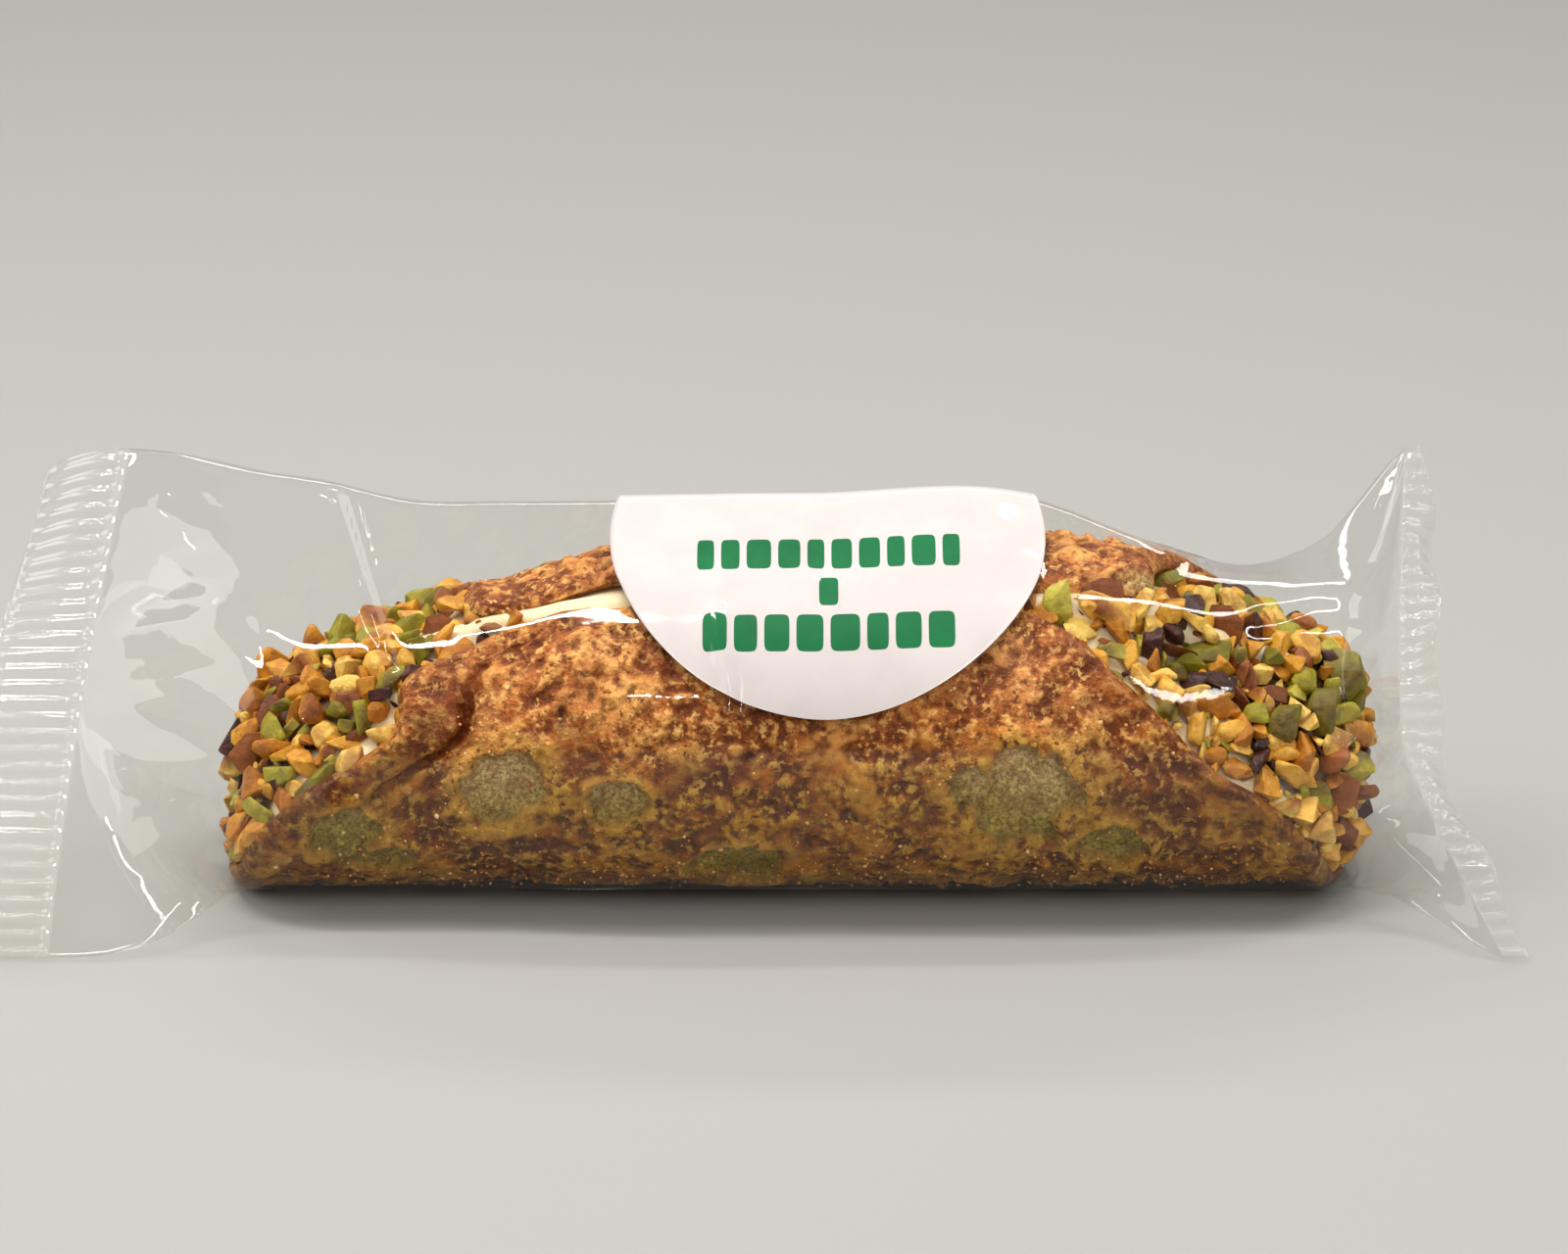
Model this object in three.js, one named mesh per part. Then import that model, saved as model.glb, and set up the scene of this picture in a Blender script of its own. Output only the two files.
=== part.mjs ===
// A filled cannolo in a clear flow-wrap pack: a film tube drawn round the pastry, nipped flat
// into a crimped seal at each end, with a long seam folded flat underneath and a round sticker
// over the ridge that the film makes on top.
//
// Millimetres, +Z up. X runs along the pack. While the pack is drawn, Y = 0 is the middle of the
// pastry and Z = 0 is the table; the finished group is then moved so that its origin is the
// middle of the pack's box at table height. Angles in a section are measured from the front
// (-Y) upwards, so that 90 degrees is straight up.
import * as THREE from "three";

// ---- Driving dimensions ---------------------------------------------------------------------
const FILM_WIDTH = 66; // lay-flat width of the film tube
const SEAL_TILT = THREE.MathUtils.degToRad(43); // how far the flat ends lean back from the table
const SEAL_FOOT = { y: -26.5, z: 0.7 }; // front lower corner of both end seals

const BODY = { radius: 20.4, flat: 0.5, left: -62, right: 61 }; // the part drawn round the pastry
const MOUTH = { radius: 18.8, starts: 38, length: 16 }; // the body narrows towards both ends
const RIDGE_RADIUS = 3; // round of the ridge along the top
const FOLD_ANGLE = THREE.MathUtils.degToRad(-40); // where the lower fold meets the body

// The ridge line, from the left end to the right end.
const RIDGE = [
  [-81, 20.5, 45.5],
  [-66, 15, 45.3],
  [-56, 12, 45],
  [-46, 8.5, 43.9],
  [-34, 6.5, 44.4],
  [0, 6, 44.9],
  [27, 6, 44.6],
  [40, 7, 39],
  [52, 8, 36],
  [65, 15, 40],
  [72, 20.5, 45.5],
];

const SEAM = { width: 9, height: 0.5 }; // the long seam, folded flat under the pack
const CRIMP = { count: 31, depth: 0.34 }; // bars across each end seal
const SEAL_HALF = 0.32; // half the thickness of a seal

const LABEL = { radius: 25.1, x: 2.5, forward: 7.2, gap: 0.35, thickness: 0.35 };

const COLUMNS = 2 * CRIMP.count; // points round the film
const BODY_STEP = 4; // spacing of the sections along the body
const NECK_RINGS = 8; // sections between the body and each seal
const PLEAT = { depth: 1.3, waves: 2.1 }; // folds that run from the seals to the body

// ---- Small helpers --------------------------------------------------------------------------
const mix = (a, b, f) => a + (b - a) * f;
const clamp01 = (f) => Math.min(1, Math.max(0, f));
const smooth = (f) => clamp01(f) * clamp01(f) * (3 - 2 * clamp01(f));
const zigzag = (f) => 4 * Math.abs(f - Math.floor(f + 0.5)) - 1; // -1..1, once for each unit

// A smooth line through points [x, y, z], read at a given x.
function lineThrough(points) {
  const curve = new THREE.CatmullRomCurve3(
    points.map((p) => new THREE.Vector3(...p)), false, "centripetal");
  const samples = curve.getPoints(points.length * 16);
  return (x) => {
    let after = samples.findIndex((p) => p.x >= x);
    if (after < 0) after = samples.length - 1;
    if (after === 0) return { y: samples[0].y, z: samples[0].z };
    const a = samples[after - 1];
    const b = samples[after];
    const f = clamp01((x - a.x) / (b.x - a.x));
    return { y: mix(a.y, b.y, f), z: mix(a.z, b.z, f) };
  };
}
const ridgeAt = lineThrough(RIDGE);

// ---- The section of the body ----------------------------------------------------------------
// A circle round the pastry and a small circle at the ridge, joined by two straight flanks.
function sectionAt(x) {
  const narrowing = smooth((Math.abs(x) - MOUTH.starts) / MOUTH.length);
  const radius = mix(BODY.radius, MOUTH.radius, narrowing);
  const centre = radius - BODY.flat + 0.3;
  const ridge = ridgeAt(x);
  const rise = ridge.z - centre;
  const reach = Math.hypot(ridge.y, rise) - RIDGE_RADIUS;
  const spacing = Math.max(reach, radius - RIDGE_RADIUS + 0.01);
  const angle = Math.atan2(rise, -ridge.y);
  const half = Math.acos((radius - RIDGE_RADIUS) / spacing);
  const flank = Math.sqrt(spacing * spacing - (radius - RIDGE_RADIUS) ** 2);
  return { radius, centre, spacing, angle, half, flank };
}

// The point of a section at a distance s from the ridge, measured along the film to the front
// (s > 0) or to the back (s < 0), and stood off by a little.
function sectionPoint(section, s, standOff = 0) {
  const { radius, centre, spacing, angle, half, flank } = section;
  const side = s < 0 ? -1 : 1;
  const distance = Math.abs(s);
  const overRidge = RIDGE_RADIUS * half;
  const polar = (a, r, from) => ({
    y: -Math.cos(a) * (r + standOff) - from * Math.cos(angle),
    z: centre + Math.sin(a) * (r + standOff) + from * Math.sin(angle),
  });
  if (distance <= overRidge) {
    return polar(angle - (side * distance) / RIDGE_RADIUS, RIDGE_RADIUS, spacing);
  }
  const start = polar(angle - side * half, RIDGE_RADIUS, spacing);
  const end = polar(angle - side * half, radius, 0);
  if (distance <= overRidge + flank) {
    const f = (distance - overRidge) / flank;
    return { y: mix(start.y, end.y, f), z: mix(start.z, end.z, f) };
  }
  const turned = (distance - overRidge - flank) / radius;
  return polar(angle - side * (half + turned), radius, 0);
}

// Length of film from the ridge to the lower fold, round the front or round the back.
function sideLength(section, front) {
  const { radius, angle, half, flank } = section;
  const down = front ? angle - FOLD_ANGLE : 2 * Math.PI - (angle - FOLD_ANGLE);
  return RIDGE_RADIUS * half + flank + radius * (down - half);
}

// ---- The end seals --------------------------------------------------------------------------
// A flat strip from its foot on the table, leaning back. up runs 0..1 from the foot to the top.
function stripPoint(up, off) {
  return {
    y: SEAL_FOOT.y + up * FILM_WIDTH * Math.cos(SEAL_TILT) - off * Math.sin(SEAL_TILT),
    z: SEAL_FOOT.z + up * FILM_WIDTH * Math.sin(SEAL_TILT) + off * Math.cos(SEAL_TILT),
  };
}

// Each end: where its inner edge runs, how wide it is, and how its outer edge curls.
const LEFT_END = {
  side: -1,
  bodyEdge: BODY.left,
  inner: (up) => -86.3 + 6.4 * up ** 1.4,
  width: () => 11.4,
  curl: (up) => -0.5 * smooth((up - 0.45) / 0.55),
  opening: (along, up) => along ** mix(3.4, 1.1, smooth(up * 2)),
};
const RIGHT_END = {
  side: 1,
  bodyEdge: BODY.right,
  inner: (up) => 69 + 10.5 * clamp01((0.42 - up) / 0.42) ** 1.2 + 2 * clamp01((up - 0.42) / 0.58) ** 2,
  width: (up) => 3.4 + 1.6 * smooth(up / 0.3) - 3 * smooth((up - 0.85) / 0.15),
  curl: (up) => 0.75 * Math.cos((up - 0.07) * 4 * Math.PI),
  opening: (along, up) => along ** mix(1.3, 0.6, smooth(up * 1.2)),
};
const SEAL_ROWS = [0, 0.08, 0.5, 0.9, 1]; // across the width of a seal; the bars fill the middle

// Index i runs round the film: 0 at the lower fold, up the front to the ridge, down the back.
function aroundFilm(i, count) {
  const turn = i / count;
  const front = turn <= 0.5;
  return { front, up: front ? 2 * turn : 2 * (1 - turn) };
}

// One row of points across an end seal.
function sealRing(end, across) {
  const count = 2 * COLUMNS;
  const crimped = across > 0.05 && across < 0.95;
  return Array.from({ length: count }, (_, i) => {
    const { front, up } = aroundFilm(i, count);
    const folded = i === 0 || i === count / 2;
    const column = front ? i : count - i;
    const wave = crimped ? (column % 2 === 0 ? CRIMP.depth : -CRIMP.depth) : 0;
    const skin = folded ? 0 : front ? SEAL_HALF : -SEAL_HALF;
    const turned = end.curl(up) * across;
    const swing = end.width(up) * across;
    const away = swing * Math.sin(turned * 0.9) * smooth(up * 5);
    const p = stripPoint(up, skin + wave + away);
    return [end.inner(up) + end.side * swing * Math.cos(turned * 0.9), p.y, Math.max(p.z, 0)];
  });
}

// One ring between an end seal (along = 0) and the body (along = 1): the film opens out from
// the flat strip to the round body.
function neckRing(end, along) {
  return Array.from({ length: COLUMNS }, (_, i) => {
    const { front, up } = aroundFilm(i, COLUMNS);
    const folded = i === 0 || i === COLUMNS / 2;
    const x = mix(end.inner(up), end.bodyEdge, along);
    const flat = stripPoint(up, folded ? 0 : front ? SEAL_HALF : -SEAL_HALF);
    const round = bodyPoint(x, i);
    const open = end.opening(along, up);
    const fold = zigzag(up * PLEAT.waves + (front ? 0 : 0.4));
    const pleat = PLEAT.depth * Math.sin(Math.PI * open) * Math.sin(Math.PI * up) * fold;
    const y = mix(flat.y, round.y, open) + (front ? -pleat : pleat) * Math.sin(SEAL_TILT);
    const z = mix(flat.z, round.z, open) + (front ? pleat : -pleat) * Math.cos(SEAL_TILT);
    return [x, y, Math.max(z, 0)];
  });
}

// ---- The body -------------------------------------------------------------------------------
// The folded seam is a strip of the underside that stands proud and carries the pack.
function bodyPoint(x, i) {
  const section = sectionAt(x);
  const { front, up } = aroundFilm(i, COLUMNS);
  const s = (1 - up) * sideLength(section, front) * (front ? 1 : -1);
  const p = sectionPoint(section, s);
  const underneath = p.z < section.centre && Math.abs(p.y) < SEAM.width / 2;
  const z = underneath ? 0 : Math.max(p.z, SEAM.height);
  return { y: p.y, z };
}

function bodyRing(x) {
  return Array.from({ length: COLUMNS }, (_, i) => {
    const { y, z } = bodyPoint(x, i);
    return [x, y, z];
  });
}

// ---- Skinning -------------------------------------------------------------------------------
class Skin {
  constructor() {
    this.points = [];
    this.triangles = [];
  }
  addRing(ring) {
    const first = this.points.length;
    this.points.push(...ring);
    return { first, size: ring.length };
  }
  at(ring, i) {
    return ring.first + ((i + ring.size) % ring.size);
  }
  // Joins two rings that follow each other along +X; the second may have twice the points.
  join(a, b) {
    const ratio = b.size / a.size;
    if (ratio < 1) return this.joinDown(a, b);
    for (let i = 0; i < a.size; i++) {
      const [a0, a1] = [this.at(a, i), this.at(a, i + 1)];
      const run = Array.from({ length: ratio + 1 }, (_, k) => this.at(b, i * ratio + k));
      const turn = Math.ceil(ratio / 2);
      for (let k = 0; k < ratio; k++) {
        this.triangles.push([k < turn ? a0 : a1, run[k], run[k + 1]]);
      }
      this.triangles.push([a0, run[turn], a1]);
    }
    return b;
  }
  joinDown(a, b) {
    const ratio = a.size / b.size;
    for (let i = 0; i < b.size; i++) {
      const [b0, b1] = [this.at(b, i), this.at(b, i + 1)];
      const run = Array.from({ length: ratio + 1 }, (_, k) => this.at(a, i * ratio + k));
      for (let k = 0; k < ratio; k++) {
        this.triangles.push([k === 0 ? b0 : b1, run[k + 1], run[k]]);
      }
      this.triangles.push([b0, b1, run[1]]);
    }
    return b;
  }
  // Closes the outer edge of a seal: its front row against its back row.
  capFlat(ring, outward) {
    const half = ring.size / 2;
    const tri = (a, b, c) => this.triangles.push(outward ? [a, b, c] : [a, c, b]);
    for (let i = 0; i < half; i++) {
      const [f0, f1] = [this.at(ring, i), this.at(ring, i + 1)];
      const [k0, k1] = [this.at(ring, -i), this.at(ring, -i - 1)];
      if (i > 0) tri(f0, k0, k1);
      if (i < half - 1) tri(f0, k1, f1);
    }
  }
  geometry() {
    const geometry = new THREE.BufferGeometry();
    geometry.setAttribute("position", new THREE.Float32BufferAttribute(this.points.flat(), 3));
    geometry.setIndex(this.triangles.flat());
    geometry.computeVertexNormals();
    return geometry;
  }
}

function wrapperGeometry() {
  const skin = new Skin();
  const bodySteps = Math.round((BODY.right - BODY.left) / BODY_STEP);
  const neck = Array.from({ length: NECK_RINGS }, (_, k) => (k + 1) / (NECK_RINGS + 1));
  const rings = [
    ...[...SEAL_ROWS].reverse().map((across) => sealRing(LEFT_END, across)),
    ...neck.map((along) => neckRing(LEFT_END, along)),
    ...Array.from({ length: bodySteps + 1 }, (_, k) =>
      bodyRing(mix(BODY.left, BODY.right, k / bodySteps))),
    ...[...neck].reverse().map((along) => neckRing(RIGHT_END, along)),
    ...SEAL_ROWS.map((across) => sealRing(RIGHT_END, across)),
  ].map((ring) => skin.addRing(ring));
  rings.reduce((a, b) => skin.join(a, b));
  skin.capFlat(rings[0], false);
  skin.capFlat(rings.at(-1), true);
  return skin.geometry();
}

// ---- The sticker ----------------------------------------------------------------------------
// A round sheet bent over the ridge: rows along X, each as long as the circle is wide there.
const LABEL_ROWS = 28;
const LABEL_COLUMNS = 10;

function labelGeometry() {
  const skin = new Skin();
  const sheet = (standOff) => Array.from({ length: LABEL_ROWS + 1 }, (_, row) => {
    const across = LABEL.radius * Math.cos((Math.PI * row) / LABEL_ROWS);
    const half = Math.sqrt(Math.max(0, LABEL.radius ** 2 - across ** 2));
    const columns = half < 0.01 ? [0] : Array.from(
      { length: LABEL_COLUMNS + 1 }, (_, k) => -Math.cos((Math.PI * k) / LABEL_COLUMNS));
    return skin.addRing(columns.map((c) => {
      const x = LABEL.x + c * half;
      const p = sectionPoint(sectionAt(x), LABEL.forward + across, standOff);
      return [x, p.y, p.z];
    }));
  });
  const inner = sheet(LABEL.gap);
  const outer = sheet(LABEL.gap + LABEL.thickness);
  const patch = (rows, flip) => {
    const tri = (a, b, c) => skin.triangles.push(flip ? [a, c, b] : [a, b, c]);
    for (let row = 0; row < LABEL_ROWS; row++) {
      const [a, b] = [rows[row], rows[row + 1]];
      for (let k = 0; k < LABEL_COLUMNS; k++) {
        const [a0, a1] = [a.first + Math.min(k, a.size - 1), a.first + Math.min(k + 1, a.size - 1)];
        const [b0, b1] = [b.first + Math.min(k, b.size - 1), b.first + Math.min(k + 1, b.size - 1)];
        if (a0 !== a1) tri(a0, a1, b1);
        if (b0 !== b1) tri(a0, b1, b0);
      }
    }
  };
  patch(outer, false);
  patch(inner, true);
  for (let row = 0; row < LABEL_ROWS; row++) {
    for (const end of [0, 1]) {
      const at = (sheetRows, r) => sheetRows[r].first + end * (sheetRows[r].size - 1);
      const [o0, o1, i0, i1] = [at(outer, row), at(outer, row + 1), at(inner, row), at(inner, row + 1)];
      const tri = (a, b, c) => skin.triangles.push(end ? [a, c, b] : [a, b, c]);
      if (o0 !== i0) {
        tri(o0, o1, i0);
        tri(o1, i1, i0);
      }
    }
  }
  return skin.geometry();
}

// ---- The pack -------------------------------------------------------------------------------
const film = new THREE.MeshStandardMaterial({
  color: 0xc9a06a, roughness: 0.12, metalness: 0, transparent: true, opacity: 0.9,
});
const paper = new THREE.MeshStandardMaterial({ color: 0xf2ecec, roughness: 0.45, metalness: 0 });

const wrapper = new THREE.Mesh(wrapperGeometry(), film);
wrapper.name = "wrapper";
const label = new THREE.Mesh(labelGeometry(), paper);
label.name = "label";

const pack = new THREE.Group();
pack.name = "cannolo_pack";
pack.add(wrapper, label);

const box = new THREE.Box3().setFromObject(pack);
const middle = box.getCenter(new THREE.Vector3());
pack.position.set(-middle.x, -middle.y, -box.min.z);

export default pack;
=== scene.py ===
"""A filled cannolo in a clear flow-wrap pack: crisp fried shell, cream, chopped nuts, film, sticker.

Shapes are worked out in millimetres round the pastry's own axis and moved into the pack's frame
when a mesh is made. x runs along the pack, y to the back, z up. A turn is an angle in degrees
round the axis, 0 at the front and 90 straight up.
"""
import itertools
import math

import bmesh
import bpy
import numpy as np
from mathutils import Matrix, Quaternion, Vector


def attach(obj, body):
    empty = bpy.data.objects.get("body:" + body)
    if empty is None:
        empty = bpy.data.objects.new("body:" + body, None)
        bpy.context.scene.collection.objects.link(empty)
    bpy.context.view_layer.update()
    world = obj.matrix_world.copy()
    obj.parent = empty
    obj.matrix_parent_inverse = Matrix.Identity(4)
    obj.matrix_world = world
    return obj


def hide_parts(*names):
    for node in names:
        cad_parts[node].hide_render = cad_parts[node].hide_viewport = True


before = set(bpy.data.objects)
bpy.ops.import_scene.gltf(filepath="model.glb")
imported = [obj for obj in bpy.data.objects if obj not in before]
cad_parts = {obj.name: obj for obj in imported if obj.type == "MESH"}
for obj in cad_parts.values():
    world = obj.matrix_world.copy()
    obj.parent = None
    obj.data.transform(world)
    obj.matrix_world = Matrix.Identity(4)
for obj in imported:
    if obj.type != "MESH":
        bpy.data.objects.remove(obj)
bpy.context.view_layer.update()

# ---- Sizes, in millimetres ------------------------------------------------------------------
MM = 0.001
AXIS = np.array([7.56, 0.79, 0.0])  # the pastry's axis, from the middle of the pack's box
AXIS_HEIGHT = 20.2  # the axis over the table, in the middle of the pastry

SHELL_RADIUS = 19.4
SHELL_WALL = 2.1
TABLE_GAP = 0.75  # film and seam between the shell and the table
REST_HEIGHT = 0.45  # lowest the dough reaches, on the film
PRESS_FROM, PRESS_ROOM = 0.45, 0.5  # where high spots begin to level off, and how much is left
FRONT_EDGE = 62.0  # turn at which the front of the wrapped dough ends
BACK_EDGE = 70.0  # turn at which the back of it ends; cream fills the gap between them
GAP_TURN = 65.0  # middle of that gap
BACK_LINE = ((-42, -35, -27, -22, 0, 28, 45), (8, 0, 2, 6, 4, -1, 2))  # how the back's edge wanders

# Mouth edges of the pastry: turn against x, from the front edge down, under and up the back.
LEFT_EDGE = [
    (62, -27), (59, -33), (52.5, -38.6), (46, -43), (40, -45), (35, -45.5), (27, -45.8),
    (20, -46.2), (15, -47.8), (10, -50), (6, -52), (-11, -58.7), (-28, -62.3), (-60, -65.3),
    (-96, -66.6), (-130, -66.8), (-160, -65.4), (-173, -62), (-190, -57), (-202, -52),
    (-222, -45.5), (-245, -41), (-275, -38.8), (-290, -38),
]
RIGHT_EDGE = [
    (62, 22), (55, 27), (37.6, 34), (25.6, 38.6), (4.8, 45.2), (-7.9, 51.2),
    (-31.5, 57.3), (-60, 60.6), (-96, 62.4), (-140, 63.2), (-180, 61.8), (-210, 55), (-235, 47),
    (-255, 42), (-275, 39.5), (-290, 38.5),
]

FILM_WIDTH = 66.0  # lay-flat width of the film tube
HALF_DOUBLED = 0.12  # from the middle of a flat seal to its skin
FILM_GAP = 1.0  # from the shell's smooth form to the film
FILM_BOTTOM, SEAM_BOTTOM = 0.3, 0.05  # how high the film and the seam under it lie
SEAL_TILT = math.radians(43)
SEAL_FOOT = (-26.5, 0.7)  # y and z of the lower end of the flat seals
BODY_LEFT, BODY_RIGHT = -62.0, 61.0  # where the round body ends and the necks begin
BODY_MIDDLE = 20.0  # height that the body's film faces away from
RIDGE_RADIUS = 3.0
FOLD_ANGLE = math.radians(-40)  # turn of the film's lower fold round the body
RIDGE = [  # x, y and z of the middle of the ridge's round
    (-81, 20.5, 45.5), (-66, 15, 45.3), (-56, 12, 45), (-46, 8.5, 43.9), (-34, 6.5, 44.4),
    (0, 6, 44.9), (27, 5.5, 44.8), (40, 3, 40.6), (52, 5, 37.1), (65, 15, 40), (72, 20.5, 45.5),
]
SEAM_WIDTH = 9.0
CRIMPS, CRIMP_HEIGHT = 31, 0.42  # bars on each end seal

LABEL_RADIUS, LABEL_X, LABEL_FORWARD = 25.1, 2.5, 7.2
STICKER_HEIGHTS = (0.62, 0.42)  # top and underside of the paper, over the film
INK_HEIGHTS = (0.645, 0.60)

# The camera looks along +Y, down by its elevation, from far enough off to keep the sides straight.
ELEVATION = math.radians(20)
VIEW_UP = np.array([0, math.sin(ELEVATION), math.cos(ELEVATION)])
DISTANCE = 800.0  # from the pastry's axis
SCALE = 8.75  # pixels for each millimetre at the axis
AXIS_PIXEL = (822, 730)  # where the middle of the pastry's axis is seen
FRAME_PIXELS = (1600, 1280)
SENSOR = 36.0
LAMP_COLOUR = (1.0, 0.965, 0.93)


# ---- Numbers and noise ----------------------------------------------------------------------
def mix(a, b, f):
    """a turned to b by f."""
    return a + (b - a) * f


def held(f):
    """f kept within 0..1."""
    return np.clip(f, 0.0, 1.0)


def smooth(f):
    """Smoothstep: 3f^2 - 2f^3 with f held to 0..1."""
    f = held(f)
    return f * f * (3 - 2 * f)


def bump(f):
    """A round hump of height 1 at f = 0 that falls to nothing by about |f| = 2."""
    return np.exp(-np.square(f))


def unit(vectors, least=0.0):
    """Vectors brought to length 1, or shortened by least where they are shorter than that."""
    return vectors / np.maximum(np.linalg.norm(vectors, axis=-1, keepdims=True), least)


def curve_through(knots, values, at):
    """Cubic Hermite curve through the knots, with centred slopes, read at each place in at."""
    knots, values = np.asarray(knots, float), np.asarray(values, float)
    slopes = np.gradient(values, knots)
    at = np.clip(at, knots[0], knots[-1])
    k = np.clip(np.searchsorted(knots, at, side="right") - 1, 0, len(knots) - 2)
    step = knots[k + 1] - knots[k]
    f = (at - knots[k]) / step
    return (
        values[k] * (2 * f**3 - 3 * f**2 + 1) + values[k + 1] * (3 * f**2 - 2 * f**3)
        + slopes[k] * step * (f**3 - 2 * f**2 + f) + slopes[k + 1] * step * (f**3 - f**2)
    )


def lattice(i, j, k, seed):
    """A random number 0..1 for each whole-number point, from a mixed-up product of primes."""
    h = (i * 374761393 + j * 668265263 + k * 1440662683 + seed * 974634777) & 0xFFFFFFFF
    h = ((h ^ (h >> 13)) * 1274126177) & 0xFFFFFFFF
    h = ((h ^ (h >> 16)) * 2246822519) & 0xFFFFFFFF
    return ((h ^ (h >> 15)) & 0xFFFFFF) / 0xFFFFFF


# A turn that lines up with no axis, so that a pattern on a whole-number net shows no rows.
TWIST = np.array([[0.00, 0.80, 0.60], [-0.80, 0.36, -0.48], [-0.60, -0.48, 0.64]])


def noise(points, size, seed, octaves=1):
    """Value noise, -1..1: lattice numbers blended smoothly, each octave turned and half the size
    and weight of the one before."""
    total, weight, amount = 0.0, 0.0, 1.0
    p = points / size
    for octave in range(octaves):
        p = p @ TWIST * (2 if octave else 1) + 17.3
        cell = np.floor(p).astype(np.int64)
        f = p - cell
        f = f * f * f * (f * (f * 6 - 15) + 10)
        value = 0.0
        for corner in np.ndindex(2, 2, 2):
            part = lattice(*(cell[..., a] + corner[a] for a in range(3)), seed + octave)
            for a in range(3):
                part = part * (f[..., a] if corner[a] else 1 - f[..., a])
            value = value + part
        total = total + amount * (2 * value - 1)
        weight += amount
        amount *= 0.5
    return total / weight


def facets(first, second, size, seed):
    """Creased sheet, -1..1: random heights at the corners of a net of triangles, joined by flat
    triangles, on coordinates bent a little so that the creases wander."""
    here = np.stack([first, second, np.zeros_like(first)], -1)
    p = first / size + 0.35 * noise(here, 2.6 * size, seed + 5)
    q = second / size + 0.35 * noise(here, 2.6 * size, seed + 6)
    q = q * 1.1547
    p = p + 0.5 * q
    i, j = np.floor(p).astype(np.int64), np.floor(q).astype(np.int64)
    u, v = p - i, q - j
    near, far = lattice(i, j, 0 * i, seed), lattice(i + 1, j + 1, 0 * i, seed)
    right, above = lattice(i + 1, j, 0 * i, seed), lattice(i, j + 1, 0 * i, seed)
    value = np.where(u > v, near * (1 - u) + right * (u - v) + far * v,
                     near * (1 - v) + above * (v - u) + far * u)
    return 2 * value - 1


def grains(points, size, seed):
    """Distance to the nearest of one random point in each cell, in cells, and its random number."""
    p = points / size
    cell = np.floor(p).astype(np.int64)
    nearest = np.full(p.shape[:-1], 9.0)
    number = np.zeros(p.shape[:-1])
    for offset in np.ndindex(3, 3, 3):
        c = cell + np.array(offset) - 1
        i, j, k = c[..., 0], c[..., 1], c[..., 2]
        spot = np.stack([lattice(i, j, k, seed + s) for s in (0, 1, 2)], -1) + c
        distance = np.linalg.norm(spot - p, axis=-1)
        closer = distance < nearest
        nearest = np.where(closer, distance, nearest)
        number = np.where(closer, lattice(i, j, k, seed + 3), number)
    return nearest, number


# ---- Meshes ---------------------------------------------------------------------------------
def sheet_quads(rows, columns, loop=False):
    """Quads of a rows x columns grid, counted row by row; loop joins the last column to the first."""
    r, c = np.meshgrid(np.arange(rows - 1), np.arange(columns if loop else columns - 1), indexing="ij")
    after = (c + 1) % columns
    return np.stack([r * columns + c, r * columns + after, (r + 1) * columns + after,
                     (r + 1) * columns + c], -1).reshape(-1, 4)


def add_object(name, data):
    """A new object in the scene."""
    thing = bpy.data.objects.new(name, data)
    bpy.context.collection.objects.link(thing)
    return thing


def make_piece(name, points, faces, material, fields=None, sharp=None):
    """A mesh object from an array of points in millimetres and arrays of quads or triangles."""
    points = points.reshape(-1, 3)
    groups = faces if isinstance(faces, list) else [faces]
    groups = [g.reshape(-1, g.shape[-1]) for g in groups]
    corners = np.concatenate([g.ravel() for g in groups]).astype(np.int32)
    sizes = np.concatenate([np.full(len(g), g.shape[1]) for g in groups]).astype(np.int32)
    starts = (np.cumsum(sizes) - sizes).astype(np.int32)
    mesh = bpy.data.meshes.new(name)
    mesh.vertices.add(len(points))
    mesh.vertices.foreach_set("co", ((points + AXIS) * MM).astype(np.float32).ravel())
    mesh.loops.add(len(corners))
    mesh.loops.foreach_set("vertex_index", corners)
    mesh.polygons.add(len(sizes))
    mesh.polygons.foreach_set("loop_start", starts)
    mesh.polygons.foreach_set("use_smooth", np.ones(len(sizes), bool))
    mesh.update(calc_edges=True)
    for field, values in (fields or {}).items():
        layer = mesh.attributes.new(field, "FLOAT", "POINT")
        layer.data.foreach_set("value", np.asarray(values, np.float32).ravel())
    if sharp is not None:
        mesh.set_sharp_from_angle(angle=math.radians(sharp))
    mesh.materials.append(material)
    mesh.validate()
    piece = add_object(name, mesh)
    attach(piece, "root")
    return piece


# ---- Materials ------------------------------------------------------------------------------
def shade(colour):
    """A grey 0..1, a screen colour of three numbers 0..255 or a linear one of four, as the linear
    colour that a shader takes."""
    if not isinstance(colour, tuple):
        return (colour, colour, colour, 1)
    if len(colour) == 4:
        return colour
    c = np.array(colour) / 255.0
    lin = np.where(c <= 0.04045, c / 12.92, ((c + 0.055) / 1.055) ** 2.4)
    return (*lin.tolist(), 1.0)


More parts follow.
